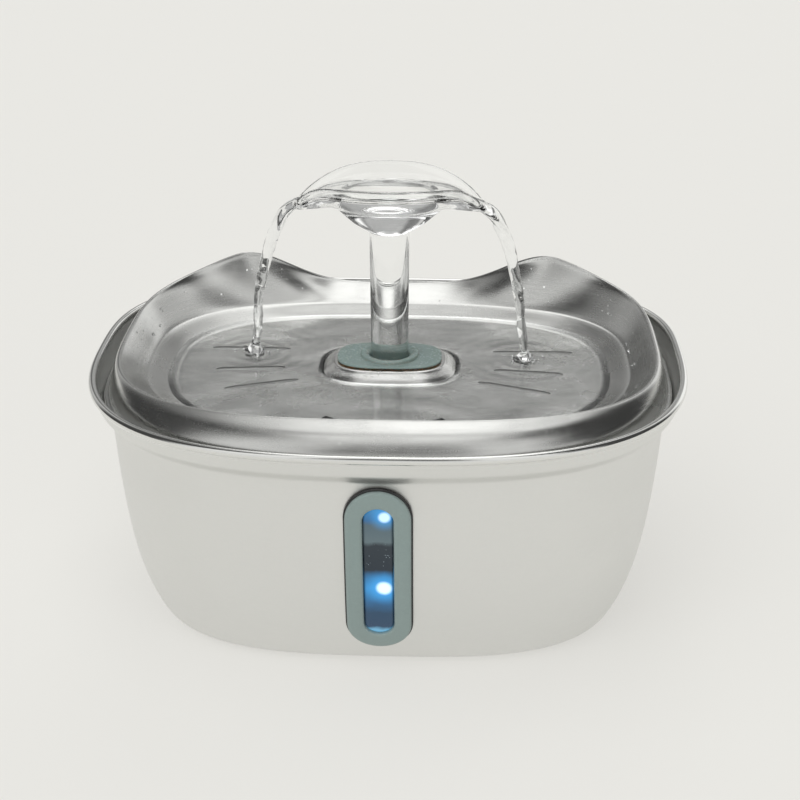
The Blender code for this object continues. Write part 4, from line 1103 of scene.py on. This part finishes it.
@dataclass
class Tray:
    """The drinking tray: a boss, a ribbed floor, a flared wall with two ears, and a rolled skirt."""

    tub: Tub
    sheet: float = 0.8
    floor_height: float = 80.8
    crest: float = 93.0
    ear_rise: float = 8.6
    ear_angle: float = 46.8
    back_dip: float = 4.6
    kink_rise: float = 4.0
    boss_height: float = 3.6
    boss_spread: float = 4.4
    hole_radius: float = 9.3
    count: int = 320
    boss: Outline = field(default_factory=lambda: oval(20.6, 13.7, 3.0))
    floor: Outline = field(default_factory=lambda: Outline(76.5, 57.5, 47.5, 2.6, 2.7))
    kink: Outline = field(default_factory=lambda: Outline(85.5, 64.0, 54.5, 2.7, 2.9))
    edge: Outline = field(default_factory=lambda: Outline(94.2, 71.4, 67.6, 3.0, 3.6))
    rib_rows: tuple[tuple[float, float, float, float], ...] = (
        (52.0, 14.5, 30.0, 1.0),
        (50.0, -4.0, 25.5, -6.0),
        (44.5, -18.0, 27.6, -20.0),
    )

    def crest_height(self, angle: float) -> float:
        """The height of the tray's edge at an angle in radians."""
        if angle > math.pi:
            return self.crest
        degrees = math.degrees(min(angle, math.pi - angle))
        away = abs(degrees - self.ear_angle)
        if degrees < self.ear_angle:
            return self.crest + self.ear_rise * math.exp(-((away / 11.9) ** 1.5))
        return self.crest - self.back_dip + (self.ear_rise + self.back_dip) * math.exp(-((away / 14.7) ** 1.9))

    def partway(self, low: float, share: float) -> Callable[[float], float]:
        """Heights a share of the way from a level up to the edge."""
        return lambda angle: low + (self.crest_height(angle) - low) * share

    def wall(self, share: float) -> Ring:
        """A ring on the flared wall, from 0 at the kink to 1 at the edge."""
        outline = self.kink.towards(self.edge, share)
        return outline.inset(-1.0 * share * (1 - share)).at(
            self.partway(self.floor_height + self.kink_rise, share), self.count
        )

    def top_rings(self) -> list[Ring]:
        """The upper face, from the hole in the boss out over the edge and down the skirt."""
        base, kink_height = self.floor_height, self.floor_height + self.kink_rise
        boss_top = base + self.boss_height
        skirt = self.tub.outline(self.tub.crease, self.tub.shoulder_inset + 0.7)
        roll = replace(self.edge.towards(skirt, 0.55), front_power=2.8, back_power=3.2)
        skirt_foot = base + 1.6
        lip = self.tub.outline(self.tub.crease, self.tub.collar_flare + self.sheet + 1.0)
        count = self.count
        return [
            circle(self.hole_radius, boss_top, count),
            circle(self.hole_radius + 1.0, boss_top, count),
            self.boss.inset(1.6).at(boss_top, count),
            self.boss.inset(0.6).at(boss_top - 0.1, count),
            self.boss.inset(-0.2).at(boss_top - 0.7, count),
            self.boss.inset(-self.boss_spread * 0.5).at(base + 1.6, count),
            self.boss.inset(-self.boss_spread * 0.85).at(base + 0.4, count),
            self.boss.inset(-self.boss_spread - 0.6).at(base, count),
            self.boss.inset(-self.boss_spread - 2.5).at(base, count),
            self.floor.inset(2.5).at(base, count),
            self.floor.inset(0.4).at(base, count),
            self.floor.inset(-1.6).at(base + 0.5, count),
            self.kink.inset(0.8).at(kink_height - 0.4, count),
            self.kink.inset(-0.5).at(kink_height + 0.1, count),
            self.wall(0.5),
            self.edge.inset(1.2).at(self.partway(kink_height, 0.88), count),
            self.edge.inset(0.35).at(self.partway(kink_height, 0.975), count),
            self.edge.inset(-0.15).at(self.crest_height, count),
            self.edge.inset(-0.9).at(self.partway(kink_height, 0.965), count),
            roll.at(self.partway(skirt_foot, 0.78), count),
            skirt.inset(0.6).at(self.partway(skirt_foot, 0.38), count),
            skirt.at(self.partway(skirt_foot, 0.1), count),
            skirt.inset(-0.3).at(skirt_foot - 0.6, count),
            lip.at(self.tub.crease + self.sheet + 0.3, count),
        ]

    def ribs(self) -> Iterator[list[Ring]]:
        """The rings of each raised rib on the floor."""
        for x, y, length, turn in self.rib_rows:
            for side in Side:
                spin = Matrix.Rotation(math.radians(side.value * turn), 3, "Z")
                half = length / 2
                rings = []
                for step in range(25):
                    along = -math.cos(math.pi * step / 24) * half
                    share = max(1 - (abs(along) / half) ** 8, 0.02) ** 0.5
                    ring = []
                    for i in range(16):
                        angle = math.tau * i / 16
                        rise = -0.3 + 0.75 * share * max(math.sin(angle), -0.3)
                        ring.append(spin @ Vector((along, 1.5 * share * math.cos(angle), self.floor_height + rise)))
                    rings.append([p + Vector((side.value * x, y, 0.0)) for p in ring])
                yield rings

    def drain(self) -> Piece:
        """The arc-shaped slots near the front of the floor."""
        slots = Piece("drain_slots")
        radius, centre_y = 34.0, -self.floor.front + 34.0 + 7.5
        for i in range(5):
            middle = -90 + (i - 2) * 15.0
            rings = []
            for height in (self.floor_height - 3.0, self.floor_height + 2.0):
                ring = []
                for reach, order in ((radius, 1), (radius + 2.4, -1)):
                    for step in range(-4, 5)[::order]:
                        angle = math.radians(middle + step * 1.3)
                        ring.append(Vector((reach * math.cos(angle), centre_y + reach * math.sin(angle), height)))
                rings.append(ring)
            slots.loft(rings)
        return slots

    def build(self) -> dict[str, bpy.types.Object]:
        """Makes the tray's sheet and its ribs, by name."""
        top = self.top_rings()
        rings = refined(top + thickened(top, -self.sheet)[::-1], 4, loop=True)
        tray = carve(Piece("tray_shell").loft(rings, loop=True).object(60.0), [self.drain().object()], 60.0)
        ribs = Piece("tray_ribs")
        for rings in self.ribs():
            ribs.loft(rings)
        return {"sheet": tray, "ribs": ribs.object(60.0)}

    def dress(self, pieces: dict[str, bpy.types.Object]) -> None:
        """Gives the tray its half-bright steel, and the ribs a darker, duller steel that paints their shade."""
        finish = Steel("tray_half_bright_steel", (0.61, 0.612, 0.60), 0.2, grain_depth=0.012, mark_strength=0.08)
        # painted shade: the raised ribs get darker steel so that they read as dark lines
        painted_shade_rib_steel = Steel("tray_rib_painted_shade_steel", (0.26, 0.262, 0.255), 0.34, grain_depth=0.012, mark_strength=0.1)
        dress(pieces["sheet"], finish, Body.TRAY, ("tray",))
        dress(pieces["ribs"], painted_shade_rib_steel, Body.TRAY)


@dataclass
class Spout:
    """The clear riser tube with its funnel, the drooping oval dish, and the silicone seat."""

    foot: float = 79.2
    radius: float = 6.65
    top_radius: float = 7.15
    wall: float = 1.5
    funnel_foot: float = 133.0
    funnel_top: float = 143.0
    funnel: Outline = field(default_factory=lambda: oval(20.0, 15.0))
    dish: Outline = field(default_factory=lambda: oval(33.5, 19.4))
    dish_top: float = 152.4
    dish_lip: float = 142.4
    seat_foot: float = 84.7
    neck_radius: float = 9.0
    neck_foot: float = 71.0
    sheet: float = 0.9
    count: int = 160

    @staticmethod
    def droop(middle: float, lip: float) -> Callable[[float], float]:
        """Heights that fall from the back of the dish, and later from its front, to its two lips."""

        def height(angle: float) -> float:
            share = abs(math.cos(angle)) / math.hypot(math.cos(angle), 1.73 * math.sin(angle))
            return middle + (lip - middle) * share ** (2.8 if angle <= math.pi else 7.0)

        return height

    def tube(self, piece: Piece) -> None:
        """Adds the riser, full of water."""
        low, n = self.funnel_foot, self.count
        rings = [
            circle(self.radius - 0.6, self.foot, n),
            circle(self.radius, self.foot + 0.5, n),
            circle(self.radius, self.foot + 1.5, n),
            circle(self.top_radius - 0.1, low - 1.0, n),
            circle(self.top_radius - 0.1, low, n),
        ]
        piece.loft(refined(rings, 4))

    def bowl(self, piece: Piece) -> None:
        """Adds the funnel and the oval dish, as one thin shell."""
        low, top, n = self.funnel_foot, self.funnel_top, self.count
        dish, funnel, high, lip = self.dish, self.funnel, self.dish_top, self.dish_lip
        outer = [
            circle(self.top_radius - 0.4, low - 0.3, n),
            circle(self.top_radius + 0.2, low, n),
            oval(13.2, 10.4).at(low + 3.3, n),
            funnel.inset(1.0).at(self.droop(top - 1.0, top - 2.0), n),
            funnel.inset(-1.0).at(self.droop(top + 0.2, top - 2.2), n),
            oval(27.0, 17.6).at(self.droop(top + 3.8, lip - 2.2), n),
            dish.inset(0.4).at(self.droop(high - 1.4, lip - 2.4), n),
            dish.at(self.droop(high - 0.9, lip - 1.7), n),
            dish.inset(0.2).at(self.droop(high, lip - 0.5), n),
        ]
        inner = [
            dish.inset(1.2).at(self.droop(high - 0.6, lip - 0.3), n),
            dish.inset(2.2).at(self.droop(high - 2.4, lip - 0.8), n),
            oval(26.0, 16.2).at(self.droop(top + 4.3, lip - 1.0), n),
            funnel.inset(0.6).at(self.droop(top + 1.2, top - 0.9), n),
            oval(12.4, 9.6).at(low + 4.4, n),
            circle(self.top_radius - 1.0, low + 1.0, n),
            circle(1.5, low + 0.6, n),
        ]
        piece.loft(refined(outer, 3) + refined(inner, 3))

    def swell(self, piece: Piece) -> None:
        """Adds the sheet of water that wells up in the dish and runs out to its lips."""
        top, n = self.dish_top, self.count
        sheet = [
            oval(30.5, 18.4).at(self.droop(top - 3.6, self.dish_lip), n),
            oval(22.0, 12.5).at(top - 5.4, n),
            oval(15.0, 8.5).at(top - 4.6, n),
            oval(11.0, 6.0).at(top - 3.2, n),
            oval(6.0, 3.4).at(top - 2.4, n),
            oval(1.5, 1.0).at(top - 2.3, n),
        ]
        rings = refined(sheet, 4)
        under = [[point - Vector((0.0, 0.0, self.sheet)) for point in ring] for ring in reversed(rings)]
        piece.loft(rings[::-1] + under[::-1])

    def seat(self) -> bpy.types.Object:
        """Makes the silicone seat that plugs the tray's hole and holds the riser."""
        plate, n = oval(18.8, 11.9, 3.0), self.count
        top, bore = self.seat_foot + 0.9, self.radius + 0.3
        rings = [
            circle(self.neck_radius, self.neck_foot, n),
            circle(self.neck_radius, self.seat_foot, n),
            plate.inset(0.3).at(self.seat_foot, n),
            plate.at(self.seat_foot + 0.35, n),
            plate.at(top - 0.5, n),
            plate.inset(0.2).at(top - 0.15, n),
            plate.inset(0.7).at(top, n),
            circle(10.9, top, n),
            circle(10.5, top + 0.2, n),
            circle(10.4, top + 0.9, n),
            circle(9.9, top + 1.3, n),
            circle(bore + 1.6, top + 1.3, n),
            circle(bore + 0.3, top + 0.2, n),
            circle(bore, top - 0.8, n),
            circle(bore, self.neck_foot, n),
        ]
        return Piece("spout_plug").loft(refined(rings, 2, loop=True), loop=True).object(45.0)

    def build(self, water: "Water") -> dict[str, bpy.types.Object]:
        """Makes the spout's pieces, by name; the streams join the water in the dish.

        Args:
            water: The moving water.

        Returns:
            The clear body and the seat.
        """
        clear = Piece("spout_clear_body")
        self.tube(clear)
        self.bowl(clear)
        self.swell(clear)
        for side in Side:
            water.stream(side, clear)
        body = clear.object(80.0)
        remesh = body.modifiers.new("fuse", "REMESH")
        remesh.mode, remesh.voxel_size, remesh.use_smooth_shade = "VOXEL", 0.3 * MM, True
        smooth = body.modifiers.new("smooth", "SMOOTH")
        smooth.factor, smooth.iterations = 0.6, 6
        return {"clear": settle(body), "seat": self.seat()}

    def dress(self, pieces: dict[str, bpy.types.Object]) -> None:
        """Gives each of the spout's pieces its finish."""
        acrylic = Clear("clear_acrylic", (0.995, 1.0, 0.998), 1.38, 60.0, 0.02)
        silicone = Moulding(
            "soft_silicone", (0.235, 0.30, 0.28), 0.26, 1400.0, 0.008, dust=0.0, constants=(("Subsurface_Weight", 0.1),)
        )
        dress(pieces["clear"], acrylic, Body.SPOUT, ("spout_tube", "spout_dish"))
        dress(pieces["seat"], silicone, Body.SEAT, ("spout_seat",))


@dataclass
class Water:
    """The moving water: a rippled film on the tray, two streams, and drops."""

    tray: Tray
    level: float = 81.4
    seed: int = 7
    landings: tuple[tuple[float, float], ...] = ((-50.0, 11.0), (48.6, 8.0))

    def ripple(self, x: float, y: float) -> float:
        """How far the film's surface stands above its level."""
        rise = 0.0
        for across, along in self.landings:
            away = math.hypot(x - across, y - along)
            rise += 0.07 * math.exp(-away / 13.0) * math.cos(math.tau * (away - 1.5) / 5.2)
        swirl = noise.noise_vector(Vector((x / 30.0, y / 30.0, 1.7))) * 6.0
        rise += 0.14 * noise.noise(Vector(((x + swirl.x) / 16.0, (y + swirl.y) / 9.0, 0.4)))
        rise += 0.02 * noise.noise(Vector(((x + swirl.x) / 6.0, (y + swirl.y) / 3.6, 4.1)))
        return rise

    def film(self) -> bpy.types.Object:
        """Makes the water on the tray, sunk a little into the sheet below so that it wets it."""
        noise.seed_set(self.seed)
        count, spans = 420, 90
        inner = self.tray.boss.inset(-self.tray.boss_spread * 0.8)
        outer = self.tray.floor.towards(self.tray.kink, 0.27)
        rings = []
        for step in range(spans + 1):
            share = step / spans
            reach = 0.5 - 0.5 * math.cos(math.pi * share) if 0 < share < 1 else share
            reach = 0.5 * (reach + share)
            ring = inner.towards(outer, reach).at(0.0, count)
            meniscus = 0.3 * math.exp(-min(reach, 1 - reach) * 50.0 / 1.2)
            calm = min(1.0, min(reach, 1 - reach) * 12.0)
            for point in ring:
                point.z = self.level + self.ripple(point.x, point.y) * calm + meniscus
            rings.append(ring)
        low = self.tray.floor_height - 0.35
        rings.append(outer.inset(0.3).at(low + 0.7, count))
        rings.append(self.tray.floor.at(low, count))
        rings.append(self.tray.boss.inset(-self.tray.boss_spread - 1.0).at(low, count))
        return Piece("tray_water").loft(rings, loop=True).object(70.0)

    def stream_path(self, side: Side) -> list[tuple[Vector, float, float]]:
        """The stations of one stream from inside the dish to the film.

        Args:
            side: Which lip it leaves.

        Returns:
            Centre, half thickness across and half thickness along of each station.
        """
        end_x, end_y = self.landings[0 if side is Side.LEFT else 1]
        control = (
            (0.0, 27.5, 142.9, 0.8, 6.0),
            (0.1, 31.5, 142.0, 1.2, 6.2),
            (0.2, 35.0, 139.6, 1.9, 5.4),
            (0.32, 38.3, 134.8, 2.3, 4.5),
            (0.45, 41.2, 127.6, 2.2, 3.8),
            (0.6, 44.0, 117.0, 2.0, 3.2),
            (0.75, 46.4, 104.0, 1.75, 2.7),
            (0.9, 47.9, 91.0, 1.55, 2.2),
            (1.0, 48.6, 82.0, 1.7, 1.9),
        )
        stretch = (abs(end_x) - 33.5) / (48.6 - 33.5)
        stations = []
        for share, x, z, across, along in control:
            reach = x if x < 33.5 else 33.5 + (x - 33.5) * stretch
            stations.append((Vector((side.value * reach, end_y * share**1.2, z)), across, along))
        return stations

    def stream(self, side: Side, piece: Piece) -> None:
        """Adds one stream, wavy and slightly braided, as a tube.

        Args:
            side: Which lip it leaves.
            piece: Where to add it.
        """
        stations = self.stream_path(side)
        lines = [[Vector((s[0].x, s[0].y, s[0].z)), Vector((s[1], s[2], 0.0))] for s in stations]
        fine = refined(lines, 12)
        phase = 1.3 if side is Side.LEFT else 0.2
        rings = []
        for i, (centre, size) in enumerate(fine):
            ahead = fine[min(i + 1, len(fine) - 1)][0] - fine[max(i - 1, 0)][0]
            along = Vector((0.0, 1.0, 0.0))
            across = along.cross(ahead).normalized()
            share = i / (len(fine) - 1)
            drop = (fine[0][0].z - centre.z) / 60.0
            wave = 1 + 0.13 * drop * math.sin(share * 38.0 + phase) + 0.07 * drop * math.sin(share * 91.0 + 2 * phase)
            foot = 1 + 1.3 * math.exp(-(centre.z - 82.0) / 0.9)
            sway = 0.35 * drop * math.sin(share * 24.0 + phase * 2)
            ring = []
            for k in range(24):
                angle = math.tau * k / 24
                braid = 1 + 0.1 * math.sin(3 * angle + share * 20.0 + phase)
                ring.append(
                    centre
                    + across * (size.x * wave * foot * braid * math.cos(angle) + sway)
                    + along * size.y * wave * foot * braid * math.sin(angle)
                )
            rings.append(ring)
        piece.loft(rings)

    def drops(self) -> bpy.types.Object:
        """Makes the drops on the flared wall and the bubbles where the streams land."""
        rng = random.Random(self.seed)
        piece = Piece("tray_drops")
        shares = [0.12 + 0.08 * i for i in range(10)]
        walls = [self.tray.wall(share) for share in shares]
        for _ in range(70):
            row, turn = rng.randrange(len(walls) - 1), rng.random()
            if rng.random() < 0.7:
                turn = rng.choice((rng.uniform(0.93, 1.08) % 1.0, rng.uniform(0.02, 0.14), rng.uniform(0.33, 0.55)))
            index = int(turn * self.tray.count) % self.tray.count
            point = walls[row][index]
            along = walls[row][(index + 1) % self.tray.count] - point
            normal = along.cross(walls[row + 1][index] - point).normalized()
            normal = normal if normal.z > 0 else -normal
            radius = rng.choice((0.22, 0.28, 0.35, 0.45, 0.6)) * rng.uniform(0.8, 1.15)
            piece.bead(point + normal * radius * 0.1, (radius, radius * rng.uniform(0.9, 1.3), radius * 0.55), normal)
        for across, along in self.landings:
            for _ in range(16):
                angle, away = rng.uniform(0, math.tau), rng.uniform(2.5, 9.0)
                place = Vector((across + away * math.cos(angle), along + away * math.sin(angle) * 0.7, self.level + 0.2))
                size = rng.uniform(0.35, 0.95)
                piece.bead(place, (size, size, size * 0.75), Vector((0.0, 0.0, 1.0)))
        return piece.object(80.0)

    def build(self) -> dict[str, bpy.types.Object]:
        """Makes the film and the drops, by name."""
        return {"film": self.film(), "drops": self.drops()}

    def dress(self, pieces: dict[str, bpy.types.Object]) -> None:
        """Gives the water its finish and its bodies."""
        still = Clear("still_water", (0.985, 0.99, 0.99), 1.333, 140.0, 0.12)
        running = Clear("running_water", (0.99, 0.995, 0.995), 1.333, 220.0, 0.08)
        dress(pieces["film"], still, Body.TRAY)
        dress(pieces["drops"], running, Body.TRAY)


@dataclass
class Workings:
    """The pieces that keep their CAD shapes, inside the tub and under it, and what each is made of."""

    rubber: Moulding = Moulding("foot_rubber", (0.02, 0.02, 0.021), 0.6, 1800.0, 0.03, dust=0.3)
    cup: Moulding = Moulding("cup_rubber", (0.1, 0.1, 0.11), 0.3, 1200.0, 0.01, dust=0.05)
    white: Moulding = Moulding("white_moulding", (0.8, 0.81, 0.8), 0.36, 1500.0, 0.012, dust=0.05)
    black: Moulding = Moulding("black_moulding", (0.028, 0.029, 0.032), 0.42, 2000.0, 0.025, dust=0.1)
    knob: Moulding = Moulding("knob_moulding", (0.42, 0.55, 0.54), 0.38, 1500.0, 0.012, dust=0.05)
    ceramic: Moulding = Moulding("shaft_ceramic", (0.84, 0.83, 0.79), 0.15, 3000.0, 0.004, dust=0.0)
    board: Moulding = Moulding("board_lacquer", (0.03, 0.22, 0.1), 0.3, 900.0, 0.03, (0.7, 0.5, 0.2), 0.0)
    resin: Moulding = Moulding("cast_resin", (0.045, 0.045, 0.047), 0.2, 250.0, 0.06, dust=0.0)
    ferrite: Moulding = Moulding("ground_ferrite", (0.085, 0.085, 0.09), 0.4, 2500.0, 0.01, dust=0.0)
    screw: Steel = Steel("screw_steel", (0.56, 0.56, 0.57), 0.22)
    cotton: Fibre = Fibre("filter_cotton", (0.86, 0.87, 0.85), (0.66, 0.67, 0.65), 420.0, 0.5)
    foam: Fibre = Fibre("open_foam", (0.075, 0.08, 0.085), (0.015, 0.016, 0.018), 700.0, 0.7)
    copper: Bands = Bands("coil_wire", (0.74, 0.34, 0.15), (0.2, 0.08, 0.03), 0.4, 0.25)
    iron: Bands = Bands("core_sheets", (0.36, 0.36, 0.37), (0.1, 0.1, 0.105), 0.6, 0.4)
    lamp: Clear = Clear("lamp_lens", (0.6, 0.8, 0.98), 1.5)

    def finishes(self) -> dict[str, Finish]:
        """The finish for each CAD node that is shown, by node or by the start of its name."""
        return {
            "foot_": self.rubber,
            "cable_gland": self.rubber,
            "suction_cup": self.cup,
            "filter_box": self.white,
            "filter_lid": self.white,
            "filter_cartridge": self.cotton,
            "impeller_shaft": self.ceramic,
            "impeller": self.white,
            "rotor_magnet": self.ferrite,
            "pump_housing": self.black,
            "pump_cover": self.black,
            "pump_sponge": self.foam,
            "flow_knob": self.knob,
            "window_retainer": self.black,
            "window_screw": self.screw,
            "stator_coil": self.copper,
            "stator_core": self.iron,
            "potting_plug": self.resin,
            "led_lens": self.lamp,
            "led_board": self.board,
        }

    def dress(self, nodes: dict[str, bpy.types.Object]) -> None:
        """Gives each node that still shows its finish.

        Args:
            nodes: The CAD nodes by name.
        """
        finishes = self.finishes()
        for name, node in sorted(nodes.items()):
            if node.hide_render:
                continue
            key = next(start for start in finishes if name.startswith(start))
            node.data.materials.clear()
            node.data.materials.append(finishes[key].make())
            LOG.info("%s: %s", name, finishes[key].name)


@dataclass(frozen=True)
class Panel:
    """A lamp or a dark card in the room, by how high it hangs and how far it is turned from straight behind."""

    rise: tuple[float, float]
    turn: tuple[float, float]
    level: float
    soft: float = 5.0
    side: Side | None = None

    def mask(self, wiring: Wiring, angle: bpy.types.NodeSocket, reach: tuple[float, float]) -> bpy.types.NodeSocket:
        """A soft-edged mask between two angles.

        Args:
            wiring: Where to add it.
            angle: The angle's socket, in degrees.
            reach: The lowest and highest angle.

        Returns:
            The mask's socket.
        """
        start = wiring.span(angle, reach[0] - self.soft, reach[0] + self.soft)
        end = wiring.span(angle, reach[1] - self.soft, reach[1] + self.soft, 1.0, 0.0)
        return wiring.math("MULTIPLY", start, end)


@dataclass
class Studio:
    """A plain pale floor, soft light from all round, and the camera."""

    floor_colour: Colour = (0.28, 0.278, 0.266)
    floor_glow: Colour = (0.535, 0.529, 0.506)
    camera_place: tuple[float, float, float] = (25.2, -523.6, 309.4)
    camera_target: tuple[float, float, float] = (3.69, 9.15, 67.5)
    lens: float = 72.0
    room_level: float = 0.4
    panels: tuple[Panel, ...] = (
        Panel((79.0, 120.0), (-90.0, 270.0), 1.25, 4.0),
        Panel((28.0, 82.0), (122.0, 166.0), 0.95, 5.0),
        Panel((44.0, 76.0), (166.0, 270.0), 0.14, 5.0),
        Panel((-10.0, 75.0), (58.0, 120.0), 0.06, 5.0),
        Panel((24.0, 76.0), (44.0, 62.0), 0.2, 5.0, Side.LEFT),
        Panel((20.0, 48.0), (116.0, 132.0), 0.14, 6.0, Side.RIGHT),
        Panel((35.0, 74.0), (-90.0, 17.0), 1.8, 5.0),
        Panel((54.0, 76.0), (10.0, 30.0), 1.2, 4.0, Side.LEFT),
        Panel((10.0, 58.0), (15.0, 31.0), 0.15, 3.0),
        Panel((8.0, 44.0), (30.0, 46.0), 0.55, 4.0, Side.LEFT),
        Panel((-5.0, 27.0), (19.0, 48.0), 1.1, 4.0, Side.RIGHT),
        Panel((22.0, 76.0), (32.0, 48.0), 0.95, 4.0, Side.RIGHT),
        Panel((60.0, 76.0), (10.0, 46.0), 1.3, 4.0, Side.RIGHT),
        Panel((-5.0, 28.0), (120.0, 270.0), 0.85, 8.0),
    )

    def build(self) -> None:
        """Makes the floor, the surroundings, the lights and the camera."""
        self.floor()
        self.surroundings()
        self.lights()
        self.camera()

    def floor(self) -> None:
        """A wide plain floor."""
        mesh = bpy.data.meshes.new("studio_floor")
        size = 6.0
        mesh.from_pydata([(-size, -size, 0), (size, -size, 0), (size, size, 0), (-size, size, 0)], [], [(0, 1, 2, 3)])
        floor = bpy.data.objects.new("studio_floor", mesh)
        bpy.context.scene.collection.objects.link(floor)
        coat = Coat("floor_paint", Roughness=0.9)
        coat.shader.inputs["Emission Color"].default_value = (*self.floor_glow, 1.0)
        coat.shader.inputs["Emission Strength"].default_value = 1.0
        wiring = coat.wiring
        cloud = wiring.noise(wiring.place(), 30.0, 3.0)
        darker: Colour = tuple(channel * 0.99 for channel in self.floor_colour)
        coat.feed("Base Color", wiring.mix(cloud, darker, self.floor_colour))
        coat.shader.inputs["Specular IOR Level"].default_value = 0.1
        mesh.materials.append(coat.material)

    def surroundings(self) -> None:
        """A pale room with broad soft lamps behind and in front, and a darker ceiling and sides."""
        world = bpy.data.worlds.new("soft_room")
        bpy.context.scene.world = world
        world.use_nodes = True
        wiring = Wiring(world.node_tree)
        background = world.node_tree.nodes["Background"]
        x, y, z = wiring.parts(wiring.place("Generated"))
        rise = wiring.math("MULTIPLY", wiring.math("ARCSINE", z), 180 / math.pi)
        turn = wiring.math("MULTIPLY", wiring.math("ARCTAN2", x, y), 180 / math.pi)
        turns = {None: wiring.math("ABSOLUTE", turn), Side.RIGHT: turn, Side.LEFT: wiring.math("MULTIPLY", turn, -1.0)}
        level = wiring.math("MULTIPLY", 1.0, self.room_level)
        for panel in self.panels:
            across = panel.mask(wiring, turns[panel.side], panel.turn)
            mask = wiring.math("MULTIPLY", panel.mask(wiring, rise, panel.rise), across)
            gain = wiring.math("MULTIPLY", mask, wiring.math("SUBTRACT", panel.level, level))
            level = wiring.math("ADD", level, gain)
        tinted = wiring.add("ShaderNodeCombineColor", {0: level, 1: level, 2: wiring.math("MULTIPLY", level, 0.985)})
        wiring.tree.links.new(tinted.outputs[0], background.inputs["Color"])
        background.inputs["Strength"].default_value = 1.0

    def lights(self) -> None:
        """One broad sun from the upper left, for a soft shadow to the right."""
        lamp = bpy.data.lights.new("soft_key", "SUN")
        lamp.energy, lamp.angle = 1.6, math.radians(80)
        key = bpy.data.objects.new("soft_key", lamp)
        key.rotation_euler = (math.radians(20), math.radians(-18), 0.0)
        key.visible_glossy = False
        bpy.context.scene.collection.objects.link(key)

    def camera(self) -> None:
        """The camera, at its place and aimed at the object."""
        data = bpy.data.cameras.new("camera")
        data.lens, data.sensor_width, data.dof.use_dof = self.lens, 36.0, False
        data.clip_start = 0.01
        camera = bpy.data.objects.new("camera", data)
        place, target = Vector(self.camera_place) * MM, Vector(self.camera_target) * MM
        camera.location = place
        camera.rotation_euler = (target - place).to_track_quat("-Z", "Y").to_euler()
        bpy.context.scene.collection.objects.link(camera)
        bpy.context.scene.camera = camera


def main() -> None:
    """Builds the fountain piece by piece, then the studio."""
    logging.basicConfig(level=logging.INFO, format="%(name)s: %(message)s")
    bpy.context.scene.view_settings.view_transform = "Standard"
    Studio().build()
    tub = Tub()
    window = Window(tub)
    tub.dress(tub.build(window))
    window.dress(window.build())
    tray = Tray(tub)
    tray.dress(tray.build())
    water = Water(tray)
    spout = Spout()
    spout.dress(spout.build(water))
    water.dress(water.build())
    Workings().dress(frame["nodes"])


if __name__ == "__main__":
    main()
